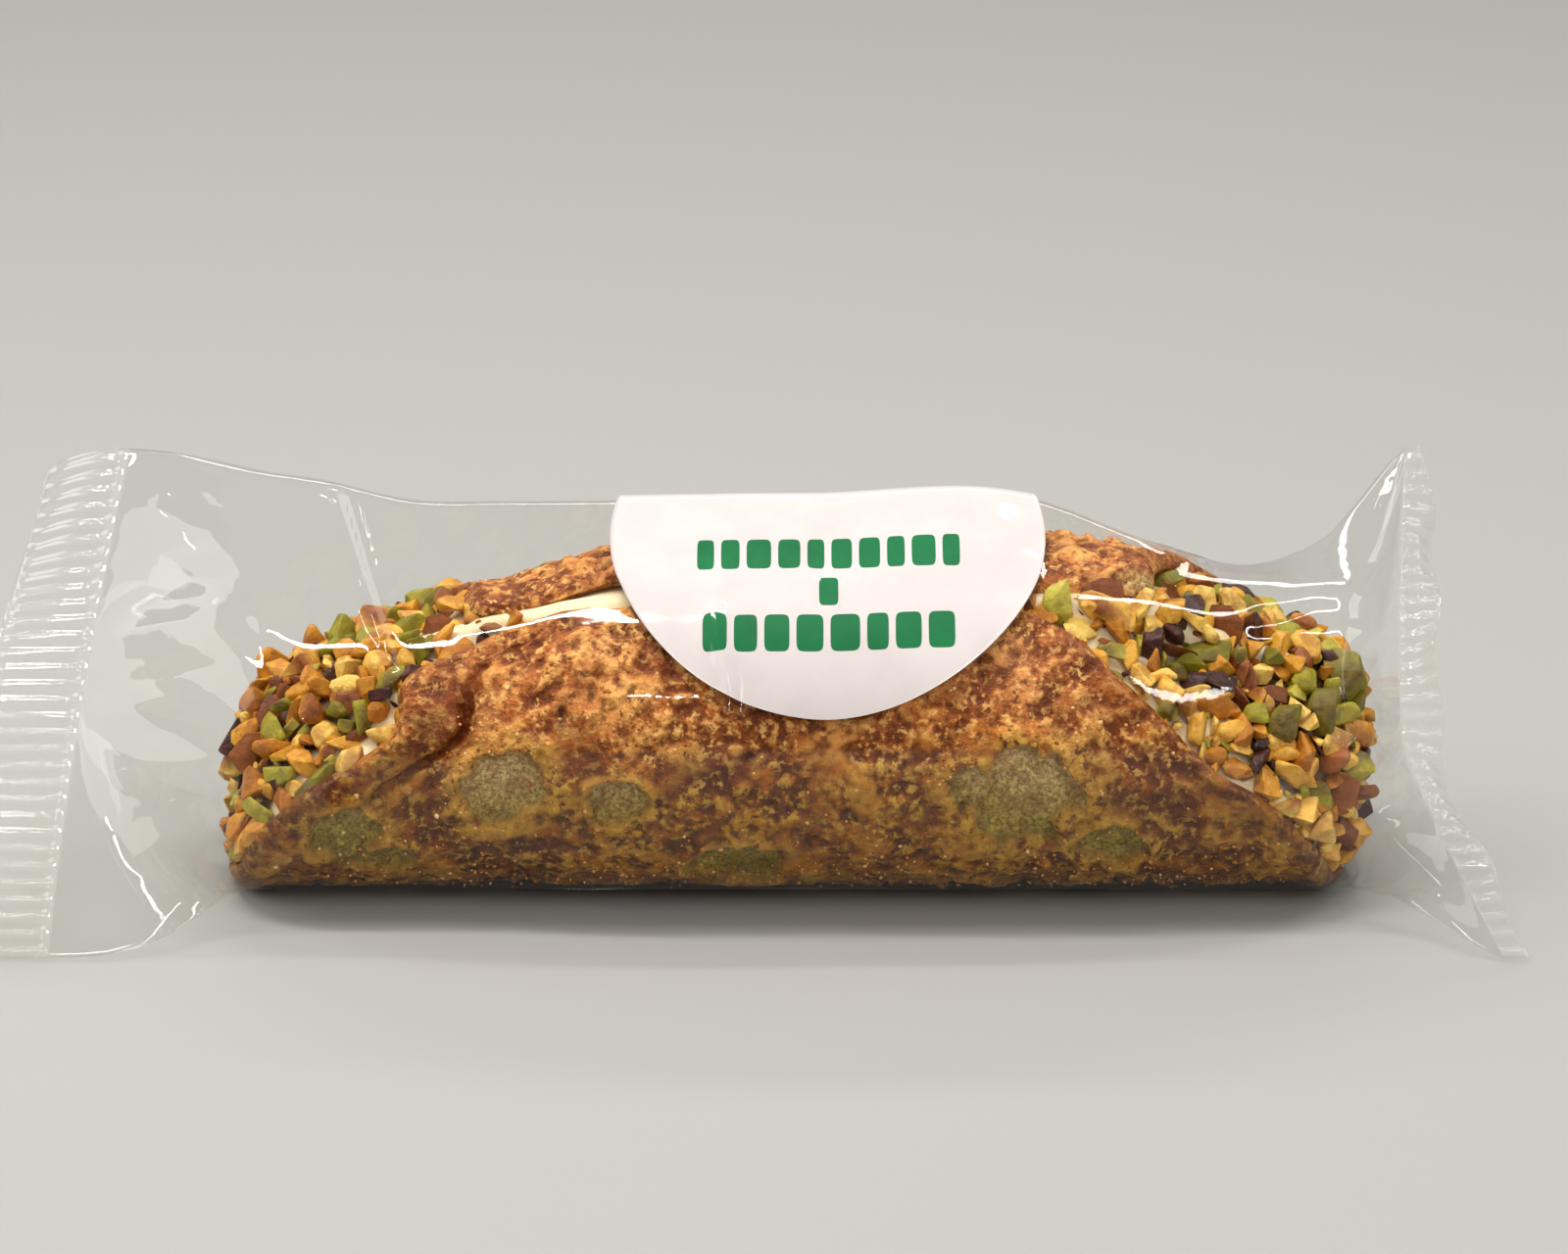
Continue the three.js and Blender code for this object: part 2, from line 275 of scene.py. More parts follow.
class Finish:
    """A material, or the world, and short ways to add and join its nodes."""

    def __init__(self, name, kind="materials", shader="Principled BSDF"):
        self.owner = getattr(bpy.data, kind).new(name)
        self.owner.use_nodes = True
        self.tree = self.owner.node_tree
        self.shader = self.tree.nodes[shader]

    def fill(self, sockets, values):
        """Joins each value that is a node's output to its socket, and sets the others."""
        for socket, value in zip(sockets, values):
            if isinstance(value, bpy.types.NodeSocket):
                self.tree.links.new(value, socket)
            else:
                socket.default_value = value

    def node(self, kind, **settings):
        """A new node with its settings and inputs."""
        node = self.tree.nodes.new(kind)
        for key, value in settings.items():
            if hasattr(node, key):
                setattr(node, key, value)
            else:
                self.fill([node.inputs[key]], [value])
        return node

    def surface(self, **values):
        """Sets or joins the shader's inputs, named with _ for a space, and gives the material."""
        self.fill([self.shader.inputs[key.replace("_", " ")] for key in values], values.values())
        return self.owner

    def cloud(self, size, detail=3.0, roughness=0.6):
        """Noise whose lumps are about size millimetres across."""
        here = self.node("ShaderNodeTexCoord").outputs["Object"]
        scaled = self.node("ShaderNodeMapping", Scale=[1000 / size] * 3, Vector=here)
        return self.node("ShaderNodeTexNoise", Scale=1.0, Detail=detail, Roughness=roughness,
                         Vector=scaled.outputs["Vector"]).outputs["Fac"]

    def field(self, name, share=None):
        """A value kept at the mesh's points, or a share of it."""
        value = self.node("ShaderNodeAttribute", attribute_name=name).outputs["Fac"]
        return value if share is None else self.sums("MULTIPLY", value, share)

    def ramp(self, source, stops):
        """Colours or greys at places 0..1 along a value."""
        node = self.node("ShaderNodeValToRGB", Fac=source)
        elements = node.color_ramp.elements
        while len(elements) < len(stops):
            elements.new(0.5)
        for element, (at, colour) in zip(elements, stops):
            element.position = at
            element.color = shade(colour)
        return node.outputs["Color"]

    def blend(self, amount, first, second, mode="MIX"):
        """First turned to second, a node's output or a colour, by amount."""
        node = self.node("ShaderNodeMix", data_type="RGBA", blend_type=mode)
        second = shade(second) if isinstance(second, tuple) else second
        self.fill([node.inputs[0], node.inputs[6], node.inputs[7]], [amount, first, second])
        return node.outputs[2]

    def sums(self, operation, *values):
        """Arithmetic on nodes' outputs and numbers."""
        node = self.node("ShaderNodeMath", operation=operation)
        self.fill(node.inputs, values)
        return node.outputs[0]

    def relief(self, height, depth, strength=1.0, **under):
        """Bump of a given depth in millimetres, over another if its Normal is given."""
        return self.node("ShaderNodeBump", Strength=strength, Distance=depth * MM, Height=height,
                         **under).outputs["Normal"]

    def layered(self, share, under, top):
        """A node that mixes two nodes' surfaces, by the share of the top one."""
        node = self.node("ShaderNodeMixShader")
        self.fill(node.inputs, (share, under.outputs[0], top.outputs[0]))
        return node


def pastry_finish():
    """Fried dough: patchy browns, paler crumbs and burst blisters, a little oil on the skin; painted
    light on the top, and painted shade underneath, in hollows, pits, slits and a groove.
    """
    f = Finish("fried_pastry")
    broad, fine, dust = f.cloud(9.0, 3.0, 0.55), f.cloud(2.2), f.cloud(0.95)
    covered = f.ramp(f.cloud(5.0), [(0.40, 0.25), (0.58, 1.0)])
    skin = f.ramp(broad, [(0.36, (128, 56, 6)), (0.46, (170, 86, 14)), (0.56, (200, 112, 28)),
                          (0.66, (226, 146, 56))])
    # Paler colours for painted light and sheen on the top of the shell.
    pale = f.ramp(broad, [(0.36, (148, 76, 32)), (0.5, (192, 114, 60)), (0.64, (224, 156, 94))])
    bare = f.ramp(f.cloud(0.5, 4.0, 0.7),
                  [(0.38, (142, 106, 52)), (0.5, (196, 160, 98)), (0.62, (232, 204, 146))])
    # Painted shade: darker in the hollows of the fine bump on the blister floors.
    bare = f.blend(f.ramp(fine, [(0.40, 0.5), (0.56, 0.0)]), bare, (140, 98, 50))
    # Pale flecks on the grains, and painted shade in the hollows between them.
    flecks, hole_shade = [(0.53, 0.0), (0.62, 0.85)], [(0.38, 0.9), (0.46, 0.0)]
    for amount, colour in (
            # Painted light and sheen on the top.
            (f.field("lit_top", 0.8), pale),
            # Painted shade: darker in the hollows of the fine bump.
            (f.ramp(fine, [(0.40, 0.85), (0.53, 0.0)]), (118, 54, 8)),
            # Painted shade in the sunk pits.
            (f.field("pit_shade", 0.75), (98, 42, 6)),
            (f.field("crumb", 0.9), (246, 178, 96)),
            (f.sums("MULTIPLY", covered, f.ramp(dust, flecks)), (252, 194, 112)),
            # Painted shade: darker in the hollows of the dust bump.
            (f.sums("MULTIPLY", covered, f.ramp(dust, hole_shade)), (96, 42, 6)),
            (f.field("bare"), bare),
            # Darker toasted lip and mouth edges, and painted shade in the groove by the left lip.
            (f.field("toast_and_groove_shade", 0.8), (104, 40, 10))):
        skin = f.blend(amount, skin, colour)
    # Painted shade with a greenish cast of bounced light, darker towards the bottom.
    skin = f.blend(f.field("lower"), skin, (0.58, 0.62, 0.22, 1), "MULTIPLY")
    # Painted shade in the three sunk slits.
    skin = f.blend(f.field("slit_shade"), skin, (46, 20, 10))
    return f.surface(Base_Color=skin, Roughness=f.ramp(fine, [(0.35, 0.26), (0.6, 0.6)]),
                     Specular_IOR_Level=0.35, Subsurface_Weight=0.05,
                     Subsurface_Radius=(0.0014, 0.0007, 0.0003),
                     Normal=f.relief(fine, 0.8, 0.7, Normal=f.relief(dust, 0.55)))


def crumb_finish():
    """Loose grains of fried dough, each its own tone from brown to pale gold."""
    f = Finish("crumbs")
    tones = [(0.0, (130, 66, 18)), (0.4, (196, 122, 54)), (0.8, (232, 168, 92)), (1.0, (250, 208, 144))]
    return f.surface(Base_Color=f.ramp(f.field("tone"), tones), Roughness=0.55,
                     Subsurface_Weight=0.1, Subsurface_Radius=(0.001, 0.0006, 0.0003))


def cream_finish():
    """Whipped cream filling: ivory, soft, with a little light passing through it, and a dark brown
    between the nuts, partly nut bits and partly painted shade of the gaps."""
    f = Finish("cream_filling")
    cream = f.ramp(f.cloud(3.0), [(0.3, (238, 214, 166)), (0.7, (250, 236, 200))])
    # Dark brown between the nuts: partly nut bits, partly painted shade of the gaps.
    dark_bits_and_gap_shade = f.ramp(f.cloud(1.4), [(0.35, (52, 28, 14)), (0.7, (120, 74, 32))])
    return f.surface(Base_Color=f.blend(f.field("bits_and_gap_shade_share"), cream, dark_bits_and_gap_shade), Roughness=0.42,
                     Subsurface_Weight=0.35, Subsurface_Radius=(0.003, 0.002, 0.0012),
                     Normal=f.relief(f.cloud(1.2, 4.0), 0.3, 0.6))


def nut_finish(name, cut_stops, skin_stops, skin_share):
    """Chopped nuts: pale cut faces with toasted patches, darker natural skin on some pieces, each
    its own tone."""
    f = Finish(name)
    fine = f.cloud(0.9, 4.0, 0.65)
    tone = f.sums("ADD", f.sums("MULTIPLY", fine, 0.45), f.field("tone", 0.55))
    toasted = f.ramp(f.cloud(2.4), [(0.40, 0.6), (0.53, 0.0)])
    cut = f.blend(toasted, f.ramp(tone, cut_stops), skin_stops[-1][1])
    skinned = f.ramp(f.field("skinned"), [(skin_share, 1.0), (skin_share + 0.04, 0.0)])
    worn = f.sums("MULTIPLY", f.field("natural"), skinned)
    return f.surface(Base_Color=f.blend(worn, cut, f.ramp(fine, skin_stops)), Roughness=0.28,
                     Subsurface_Weight=0.15, Subsurface_Radius=(0.0012, 0.0008, 0.0004),
                     Normal=f.relief(f.cloud(1.3, 5.0, 0.7), 0.45, 0.9))


def fruit_finish():
    """Dark dried fruit with a dull gloss."""
    f = Finish("dried_fruit")
    return f.surface(Base_Color=f.ramp(f.cloud(1.5), [(0.3, (34, 14, 14)), (0.7, (86, 40, 34))]),
                     Roughness=0.33, Normal=f.relief(f.cloud(1.4, 4.0), 0.5, 0.9))


def film_finish(name, haze=0.0):
    """Clear film: light passes, and a share of it is mirrored that grows towards grazing."""
    head_on, grazing, steepness = 0.024, 0.6, 4.0
    f = Finish(name)
    f.tree.nodes.remove(f.shader)
    clear = f.node("ShaderNodeBsdfTransparent", Color=(0.975, 0.98, 0.97, 1))
    shine = f.node("ShaderNodeBsdfGlossy", Color=(1, 1, 1, 1), Roughness=0.035,
                   Normal=f.relief(f.cloud(7.0, 3.0, 0.5), 0.12, 0.6))
    facing = f.node("ShaderNodeLayerWeight", Blend=0.5).outputs["Facing"]
    grown = f.sums("MULTIPLY", f.sums("POWER", facing, steepness), grazing)
    result = f.layered(f.sums("ADD", grown, head_on), clear, shine)
    if haze:
        dust = f.node("ShaderNodeBsdfDiffuse", Color=(0.9, 0.93, 0.88, 1))
        result = f.layered(haze, result, dust)
    f.tree.links.new(result.outputs["Shader"], f.tree.nodes["Material Output"].inputs["Surface"])
    return f.owner


def paper_finish(name, colour, mottle):
    """Coated sticker paper: a fine mottle and a faint sheen."""
    f = Finish(name)
    return f.surface(Base_Color=f.ramp(f.cloud(6.0, 5.0), [(0.3, mottle), (0.7, colour)]),
                     Roughness=0.5, Specular_IOR_Level=0.25, Coat_Weight=0.4, Coat_Roughness=0.06,
                     Normal=f.relief(f.cloud(0.5), 0.02, 0.3))


# ---- The pastry shell -----------------------------------------------------------------------
def shell_radius(x):
    """Outer radius of the shell: full in the middle and narrower towards both ends."""
    left = 1.9 * smooth((-x - 20) / 22)
    right = 1.5 * smooth((x - 30) / 24)
    return SHELL_RADIUS - left - right


def shell_axis_height(x):
    """Height of the axis, so that the shell rests on the film all along."""
    return shell_radius(x) + TABLE_GAP


def wrapped(turn):
    """A turn brought into -180..180."""
    return (turn + 180) % 360 - 180


def round_axis(x, a, radius):
    """Points at x, at an angle a and a radius from the pastry's axis."""
    return np.stack([x, -np.cos(a) * radius, np.sin(a) * radius + shell_axis_height(x)], -1)


def edge_at(edge, turn):
    """x of a mouth edge at a turn, from its listed points."""
    return curve_through(*np.array(sorted(edge)).T, turn)


# Burst blisters and slits, the slits darkened with painted shade, that show on the front: x, turn, half
# width, half height.
BLISTERS = [
    (-34.3, -2.0, 5.0, 5.0), (-21.8, -10.5, 3.5, 2.9), (24.5, -10.5, 6.4, 6.2),
    (18.6, -4.5, 2.6, 3.2), (35.0, -29.0, 4.0, 3.8), (-53.5, -22.0, 4.4, 3.6),
]
BLISTERS_IN_ALL = 24
SLITS = [(-27.9, 22.0, 0.5, 1.5), (-6.2, 6.5, 0.8, 0.6), (-12.0, -40.0, 1.3, 0.5)]


def blister_spots():
    """The blisters on the front and random ones round the back, clear of each other."""
    rng = np.random.default_rng(5)
    ranges = ((-55, 54), (70, 325), (1.6, 6.0), (1.6, 5.0))
    spots = list(BLISTERS)
    while len(spots) < BLISTERS_IN_ALL:
        x, turn, wide, high = (rng.uniform(*ends) for ends in ranges)
        if all(abs(x - s[0]) + abs((turn - s[1]) * 0.34) > 1.6 * (wide + s[2]) for s in spots):
            spots.append((x, turn, wide, high))
    return spots


def shell_relief(x, turn, radius, place):
    """Height of the skin over its smooth form, and the fields that colour it.

    Height = slow waves + small bubbles + crumb grains - floors of burst blisters + their ragged
    rims - three dark slits + a lifted flake, all in millimetres.
    """
    around = (turn + 360) % 360

    def away(spot):
        """Distance from a spot's middle, as a share of its half width and half height."""
        across = np.radians(wrapped(around - spot[1])) * radius
        return np.hypot((x - spot[0]) / spot[2], across / spot[3])

    slow = 0.42 * noise(place, 17, 3, 2)
    bubbles, chance = grains(place, 6.5, 40)
    domes = 0.35 * smooth(1.5 - bubbles * 3.2) * (chance > 0.6)
    dense = smooth(noise(place, 10, 5, 2) * 1.7 + 0.5)
    lumps = 0.62 * noise(place, 3.0, 60, 2) + 0.50 * noise(place, 1.3, 64)
    rubble, picked = grains(place, 1.8, 61)
    stuck = smooth(1.45 - 2.9 * rubble) * (picked > 0.42) * smooth(lumps * 2 + 0.8)
    crumb = np.maximum(smooth((lumps - 0.10) * 3.4) * 0.75, stuck) * (0.35 + 0.65 * dense)
    # Pits: low spots that are sunk, and darkened with painted shade.
    pit_shade = smooth((-lumps - 0.14) * 3.4) * (1 - stuck)
    ragged = 0.42 * noise(place, 3.0, 7, 3)
    reach = [away(spot) + ragged for spot in blister_spots()]
    bare = np.max([smooth((1.0 - rho) * 14) for rho in reach], axis=0)
    rims = np.max([bump((rho - 1.15) / 0.25) for rho in reach], axis=0)
    # Slits: sunk, and darkened with painted shade.
    slit_shade = np.max([bump(away(slit)) for slit in SLITS], axis=0)
    flake_line = np.radians(turn - 39) * radius - 1.5 * np.sin(x * 0.55) - 1.3 * noise(place, 4, 11, 2)
    flake = smooth(flake_line * 2.0) * bump((x + 25.5) / 5.0) * (turn < FRONT_EDGE)
    height = (slow + domes * (1 - bare) + (0.58 * crumb - 0.40 * pit_shade) * (1 - 0.85 * bare)
              - 1.35 * bare + rims * (0.75 + 0.9 * noise(place, 1.5, 13)) - 0.7 * slit_shade + 0.6 * flake)
    crumb = np.maximum(crumb * (1 - bare), rims * smooth(1.4 * noise(place, 1.4, 15) + 0.95))
    return height, {"crumb": crumb, "bare": bare, "slit_shade": slit_shade, "pit_shade": pit_shade * (1 - bare)}


def back_shift(x, turn):
    """Degrees by which the last of the back is drawn up or down to its wandering edge."""
    return curve_through(*BACK_LINE, x) * smooth((-245 - turn) / 45)


def shell_point(x, turn, depth):
    """A point of the wrapped dough at x along and a turn round the axis, depth below its skin.

    The dough is a tube whose radius narrows to the ends. Its back lifts off the tube over the
    top in the middle, and the mouth edges are thickened into a rolled lip. High spots level off
    under the film, and the lowest ones lie flat."""
    hump = smooth((-205 - turn) / 45) * (1 - smooth((-262 - turn) / 34))
    lift = (2.3 * bump((x - 12) / 26) - 1.0 * bump((x + 42) / 9)) * hump
    radius = shell_radius(x) + lift + 0.35 * smooth((-270 - turn) / 20)
    left_rim = x - edge_at(LEFT_EDGE, turn)
    right_rim = edge_at(RIGHT_EDGE, turn) - x
    rim = np.minimum(left_rim, right_rim)
    corner = bump((turn - 19) / 25)
    lip = corner * (1.3 * bump((left_rim - 3.4) / 3.0) - 2.0 * bump((left_rim - 7.1) / 0.8))
    lip = lip + 0.45 * bump((left_rim - 1.2) / 1.6) + 0.45 * bump((right_rim - 1.2) / 1.6)
    a = np.radians(turn + back_shift(x, turn))
    place = np.stack([x, -np.cos(a) * radius, np.sin(a) * radius], -1)
    height, fields = shell_relief(x, turn, radius, place)
    height = height * smooth(rim / 1.2) + lip
    over = np.maximum(height - PRESS_FROM, 0)
    pressed = PRESS_FROM + PRESS_ROOM * (1 - np.exp(-over / PRESS_ROOM))
    r = radius + np.where(height > PRESS_FROM, pressed, height) * (depth < 0.5 * SHELL_WALL) - depth
    # Toasted lip and mouth edges, and painted shade in the sunk groove by the lip.
    toast_and_groove_shade = corner * (0.95 * bump((left_rim - 7.1) / 0.9) + 0.7 * bump((left_rim - 3.2) / 3.6))
    toast_and_groove_shade = np.maximum(toast_and_groove_shade, 0.45 * bump(rim / 1.6))
    fields["crumb"] = fields["crumb"] * (1 - 0.8 * toast_and_groove_shade)
    fields["toast_and_groove_shade"] = toast_and_groove_shade
    # Share of painted light and sheen, greatest on the top of the shell.
    fields["lit_top"] = smooth(0.9 * np.sin(a) + 0.15 + 0.35 * noise(place, 12, 9, 2))
    # Share of painted shade with a greenish cast of bounced light, growing towards the bottom.
    fields["lower"] = smooth(0.35 - 1.6 * np.sin(a - 0.2) + 0.3 * height)
    points = round_axis(x, a, r)
    points[..., 2] = np.maximum(points[..., 2], REST_HEIGHT)
    return points, fields


def build_shell(material):
    """The wrapped dough: for each turn a closed loop runs along the skin, round the right mouth
    edge, back along the inside and round the left edge; the loops close to nothing at both flap
    edges."""
    skin, rim, inside, rows = 264, 5, 26, 306
    turns = np.linspace(FRONT_EDGE, -360 + BACK_EDGE, rows)
    along = np.concatenate([np.linspace(0, 1, skin), np.full(rim, 1.0),
                            np.linspace(1, 0, inside), np.full(rim, 0.0)])
    round_edge = np.sin(np.linspace(0, np.pi, rim + 2)[1:-1])
    outward = np.concatenate([np.zeros(skin), round_edge, np.zeros(inside), -round_edge])
    down = np.concatenate([np.zeros(skin), np.linspace(0, 1, rim + 2)[1:-1], np.ones(inside),
                           np.linspace(1, 0, rim + 2)[1:-1]])
    t, f = np.meshgrid(turns, along, indexing="ij")
    here = np.stack([t, np.zeros_like(t), f], -1)
    left = edge_at(LEFT_EDGE, t) + 0.8 * noise(here, 14, 21, 3)
    right = edge_at(RIGHT_EDGE, t) + 0.8 * noise(here, 14, 22, 3)
    x = mix(left, right, f) + outward * 0.5 * SHELL_WALL * 0.9
    from_edge = np.minimum(FRONT_EDGE - t, t + 360 - BACK_EDGE) * np.radians(SHELL_RADIUS)
    thick = SHELL_WALL * np.sqrt(held(1 - np.square(1 - held(from_edge / 1.3))))
    points, fields = shell_point(x, t, 0.5 * SHELL_WALL + (down - 0.5) * thick)
    make_piece("pastry_shell", points, sheet_quads(rows, len(along), loop=True)[:, ::-1], material,
               fields)


def lumpy_grain(rng):
    """Corners of a crumb: the twelve of an icosahedron, each pushed in or out at random."""
    golden = (1 + math.sqrt(5)) / 2
    corners = [np.roll((0, a, b * golden), -n) for n in range(3) for a in (-1, 1) for b in (-1, 1)]
    return np.array(corners) / math.hypot(1, golden) * rng.uniform(0.7, 1.15, (12, 1))


def grain_faces():
    """Faces of an icosahedron: the three corners of each lie one edge apart, wound outwards."""
    ball = unit(lumpy_grain(np.random.default_rng(0)))
    near = np.linalg.norm(ball[:, None] - ball[None], axis=-1) < 1.1
    faces = []
    for a, b, c in itertools.combinations(range(12), 3):
        if near[a, b] and near[b, c] and near[a, c]:
            out = np.dot(np.cross(ball[b] - ball[a], ball[c] - ball[a]), ball[a]) > 0
            faces.append((a, b, c) if out else (a, c, b))
    return np.array(faces)


def build_crumbs(material):
    """Grains stuck to the dough, thickest where it is crumbly and round the blisters, and loose
    ones between dough and film low on the front. All are one joined mesh.

    Each grain = a lumpy ball, stretched, turned and sunk part way into the skin."""
    tries, stuck, loose, kinds = 60000, 6200, 420, 40
    sunk, room = 0.3, 0.85  # share of a grain's size in the skin, and what room the film leaves
    rng = np.random.default_rng(17)
    turn = rng.uniform(-360 + BACK_EDGE + 3, FRONT_EDGE - 3, tries)
    x = mix(edge_at(LEFT_EDGE, turn) + 1.5, edge_at(RIGHT_EDGE, turn) - 1.5, rng.random(tries))
    points, fields = shell_point(x, turn, np.zeros_like(x))
    patch = noise(points, 7, 41, 2)
    chance = fields["crumb"] * smooth(0.45 + 1.1 * patch) * (1 - 0.9 * fields["bare"]) + 0.02
    kept = rng.random(tries) < 0.42 * chance
    points, x = points[kept][:stuck], x[kept][:stuck]
    size = 0.12 + 0.26 * rng.random(len(x)) ** 2.5
    side = np.stack([np.zeros_like(x), points[:, 1], points[:, 2] - shell_axis_height(x)], -1)
    reach = np.linalg.norm(side, axis=-1)
    level = np.minimum(reach - sunk * size, shell_radius(x) + room - size)
    points = points + side * ((level - reach) / reach)[:, None]
    x = rng.uniform(-56, 56, loose)
    a = np.radians(rng.triangular(-66, -44, -14, loose))
    points = np.concatenate([points, round_axis(x, a, shell_radius(x) + 0.66)])
    size = np.concatenate([size, rng.uniform(0.10, 0.24, loose)])
    points[:, 2] = np.maximum(points[:, 2], REST_HEIGHT + size)
    count = len(points)
    shapes = np.stack([lumpy_grain(rng) for _ in range(kinds)])[rng.integers(0, kinds, count)]
    stretched = shapes * (size[:, None] * rng.uniform(0.75, 1.2, (count, 3)))[:, None]
    grains_at = np.einsum("nij,npj->npi", random_turns(count, rng), stretched) + points[:, None]
    faces = grain_faces()[None] + 12 * np.arange(count)[:, None, None]
    make_piece("crumbs", grains_at, faces, material,
               {"tone": np.repeat(rng.random(count), 12)})


# ---- Cream and nuts -------------------------------------------------------------------------
MOUTHS = {  # by side, left -1 and right 1: mouth edge, x of the filling's tip and its roundness
    -1: {"edge": LEFT_EDGE, "tip": -65.2, "power": 2.2},
    1: {"edge": RIGHT_EDGE, "tip": 64.4, "power": 3.2},
}


def mouth_edge(side, turn):
    """x of a mouth at any turn, the gap between the two edges of the dough bridged smoothly."""
    turn = wrapped(turn)
    edge = MOUTHS[side]["edge"]
    front = edge_at(edge, np.minimum(turn, 60))
    back = edge_at(edge, np.maximum(turn - 360, -288))
    return mix(front, np.where(turn < 0, front, back), smooth((turn - 60) / 12))


def filling_radius(x, turn):
    """Radius of the filling: just inside the dough, and swelling up into its open gap."""
    return shell_radius(x) - SHELL_WALL + 0.1 + 1.9 * bump((wrapped(turn) - GAP_TURN) / 7)


def mouth_point(side, out, turn, raised=0.0):
    """A point of the filling's face: out runs from the axis (0) to the shell (1).

    x = edge + (tip - edge)(1 - out^power): a face that bulges from the slanted mouth edge.
    raised moves it outwards from that face.
    """
    mouth = MOUTHS[side]
    edge = mouth_edge(side, turn)
    x = edge + (mouth["tip"] - edge) * (1 - out ** mouth["power"])
    slope = held(np.abs(mouth["tip"] - edge) / 26.0) * out
    radius = filling_radius(x, turn) * out + raised * slope
    return round_axis(x + side * raised * (1 - 0.7 * slope), np.radians(turn), radius)


def build_cream(material):
    """The filling: the left face, a tube inside the shell and the right face, as one closed skin."""
    columns = 180
    around = np.linspace(0, 360, columns, endpoint=False)
    outs = np.linspace(0.02, 1, 44)
    rows, bits_and_gap_shade_share = [], []
    for side, order in ((-1, outs), (0, np.linspace(0, 1, 50)[1:-1]), (1, outs[::-1])):
        turn, out = np.meshgrid(around, order)
        gap = bump((wrapped(turn) - GAP_TURN) / 9)
        if side:
            p = mouth_point(side, out, turn, (-0.7 - 0.9 * (1 - out)) * (1 - gap * smooth(out * 4 - 2.6)))
            band = bump((wrapped(turn) - 50) / 62) * (side < 0)
            # Share of dark brown between the nuts, partly nut bits and partly painted shade, up to near
            # the shell.
            covered = smooth((0.93 - 0.15 * band - out) * 12 + noise(p, 4, 33, 2))
            bits_and_gap_shade_share.append(covered * (1 - gap * (out > 0.6)))
        else:
            x = mix(mouth_edge(-1, turn), mouth_edge(1, turn), out)
            p = round_axis(x, np.radians(turn), filling_radius(x, turn))
            bits_and_gap_shade_share.append(np.zeros_like(out))
        rough = 0.5 * noise(p, 5, 31, 3) + 0.25 * noise(p, 1.6, 34)
        rows.append(p + rough[..., None] * np.array([side, 0.3, 0.3]))
    points = np.concatenate(rows)
    count = len(points)
    tips = np.stack([points[0].mean(0), points[-1].mean(0)])
    body = sheet_quads(count, columns, loop=True)[:, ::-1]
    ring = np.arange(columns)
    after = (ring + 1) % columns
    tip = np.full(columns, count * columns)
    last = (count - 1) * columns
    fans = [np.stack([after, ring, tip], -1), np.stack([tip + 1, last + ring, last + after], -1)]
    fields = {"bits_and_gap_shade_share": np.append(np.concatenate(bits_and_gap_shade_share), [1.0, 1.0])}
    make_piece("cream", np.concatenate([points.reshape(-1, 3), tips]), [body, *fans], material,
               fields)


def chip(rng, corners, cuts):
    """One chopped piece: the hull of random points near a ball, some cut back to flat planes, with
    its edges bevelled. Each corner takes the normal of its widest face, so edges look worn.
    The last result tells how far a corner lies on the side that keeps its natural skin."""
    merge, flat, worn = 0.12, math.radians(24), 0.17
    spread = unit(rng.normal(size=(corners, 3))) * rng.uniform(0.82, 1.0, (corners, 1))
    for _ in range(cuts):
        plane = unit(rng.normal(size=3))
        over = np.maximum(spread @ plane - rng.uniform(0.1, 0.5), 0)
        spread = spread - over[:, None] * plane
    solid = bmesh.new()
    for point in spread:
        solid.verts.new(point)
    bmesh.ops.remove_doubles(solid, verts=solid.verts, dist=merge)
    hull = bmesh.ops.convex_hull(solid, input=solid.verts)
    bmesh.ops.delete(solid, geom=hull["geom_interior"], context="VERTS")
    bmesh.ops.dissolve_limit(solid, angle_limit=flat, verts=solid.verts, edges=solid.edges)
    bmesh.ops.bevel(solid, geom=solid.edges[:], offset=worn, segments=1, profile=0.5,
                    affect="EDGES", clamp_overlap=True)
    bmesh.ops.triangulate(solid, faces=solid.faces)
    bmesh.ops.recalc_face_normals(solid, faces=solid.faces)
    solid.verts.index_update()
    points = np.array([v.co[:] for v in solid.verts])
    faces = np.array([[v.index for v in f.verts] for f in solid.faces])
    solid.free()
    first, second, third = (points[faces[:, corner]] for corner in range(3))
    across = np.cross(second - first, third - first)
    weight = across * np.linalg.norm(across, axis=1, keepdims=True) ** 0.6
    normals = np.zeros_like(points)
    for corner in range(3):
        np.add.at(normals, faces[:, corner], weight)
    return points, faces, unit(normals, 1e-9), smooth((points[:, 2] - 0.42) * 4)


def random_turns(count, rng):
    """Random rotation matrices from random quaternions."""
    w, x, y, z = unit(rng.normal(size=(count, 4))).T
    return np.stack([
        np.stack([1 - 2 * (y * y + z * z), 2 * (x * y - z * w), 2 * (x * z + y * w)], -1),
        np.stack([2 * (x * y + z * w), 1 - 2 * (x * x + z * z), 2 * (y * z - x * w)], -1),
        np.stack([2 * (x * z - y * w), 2 * (y * z + x * w), 1 - 2 * (x * x + y * y)], -1)], -2)


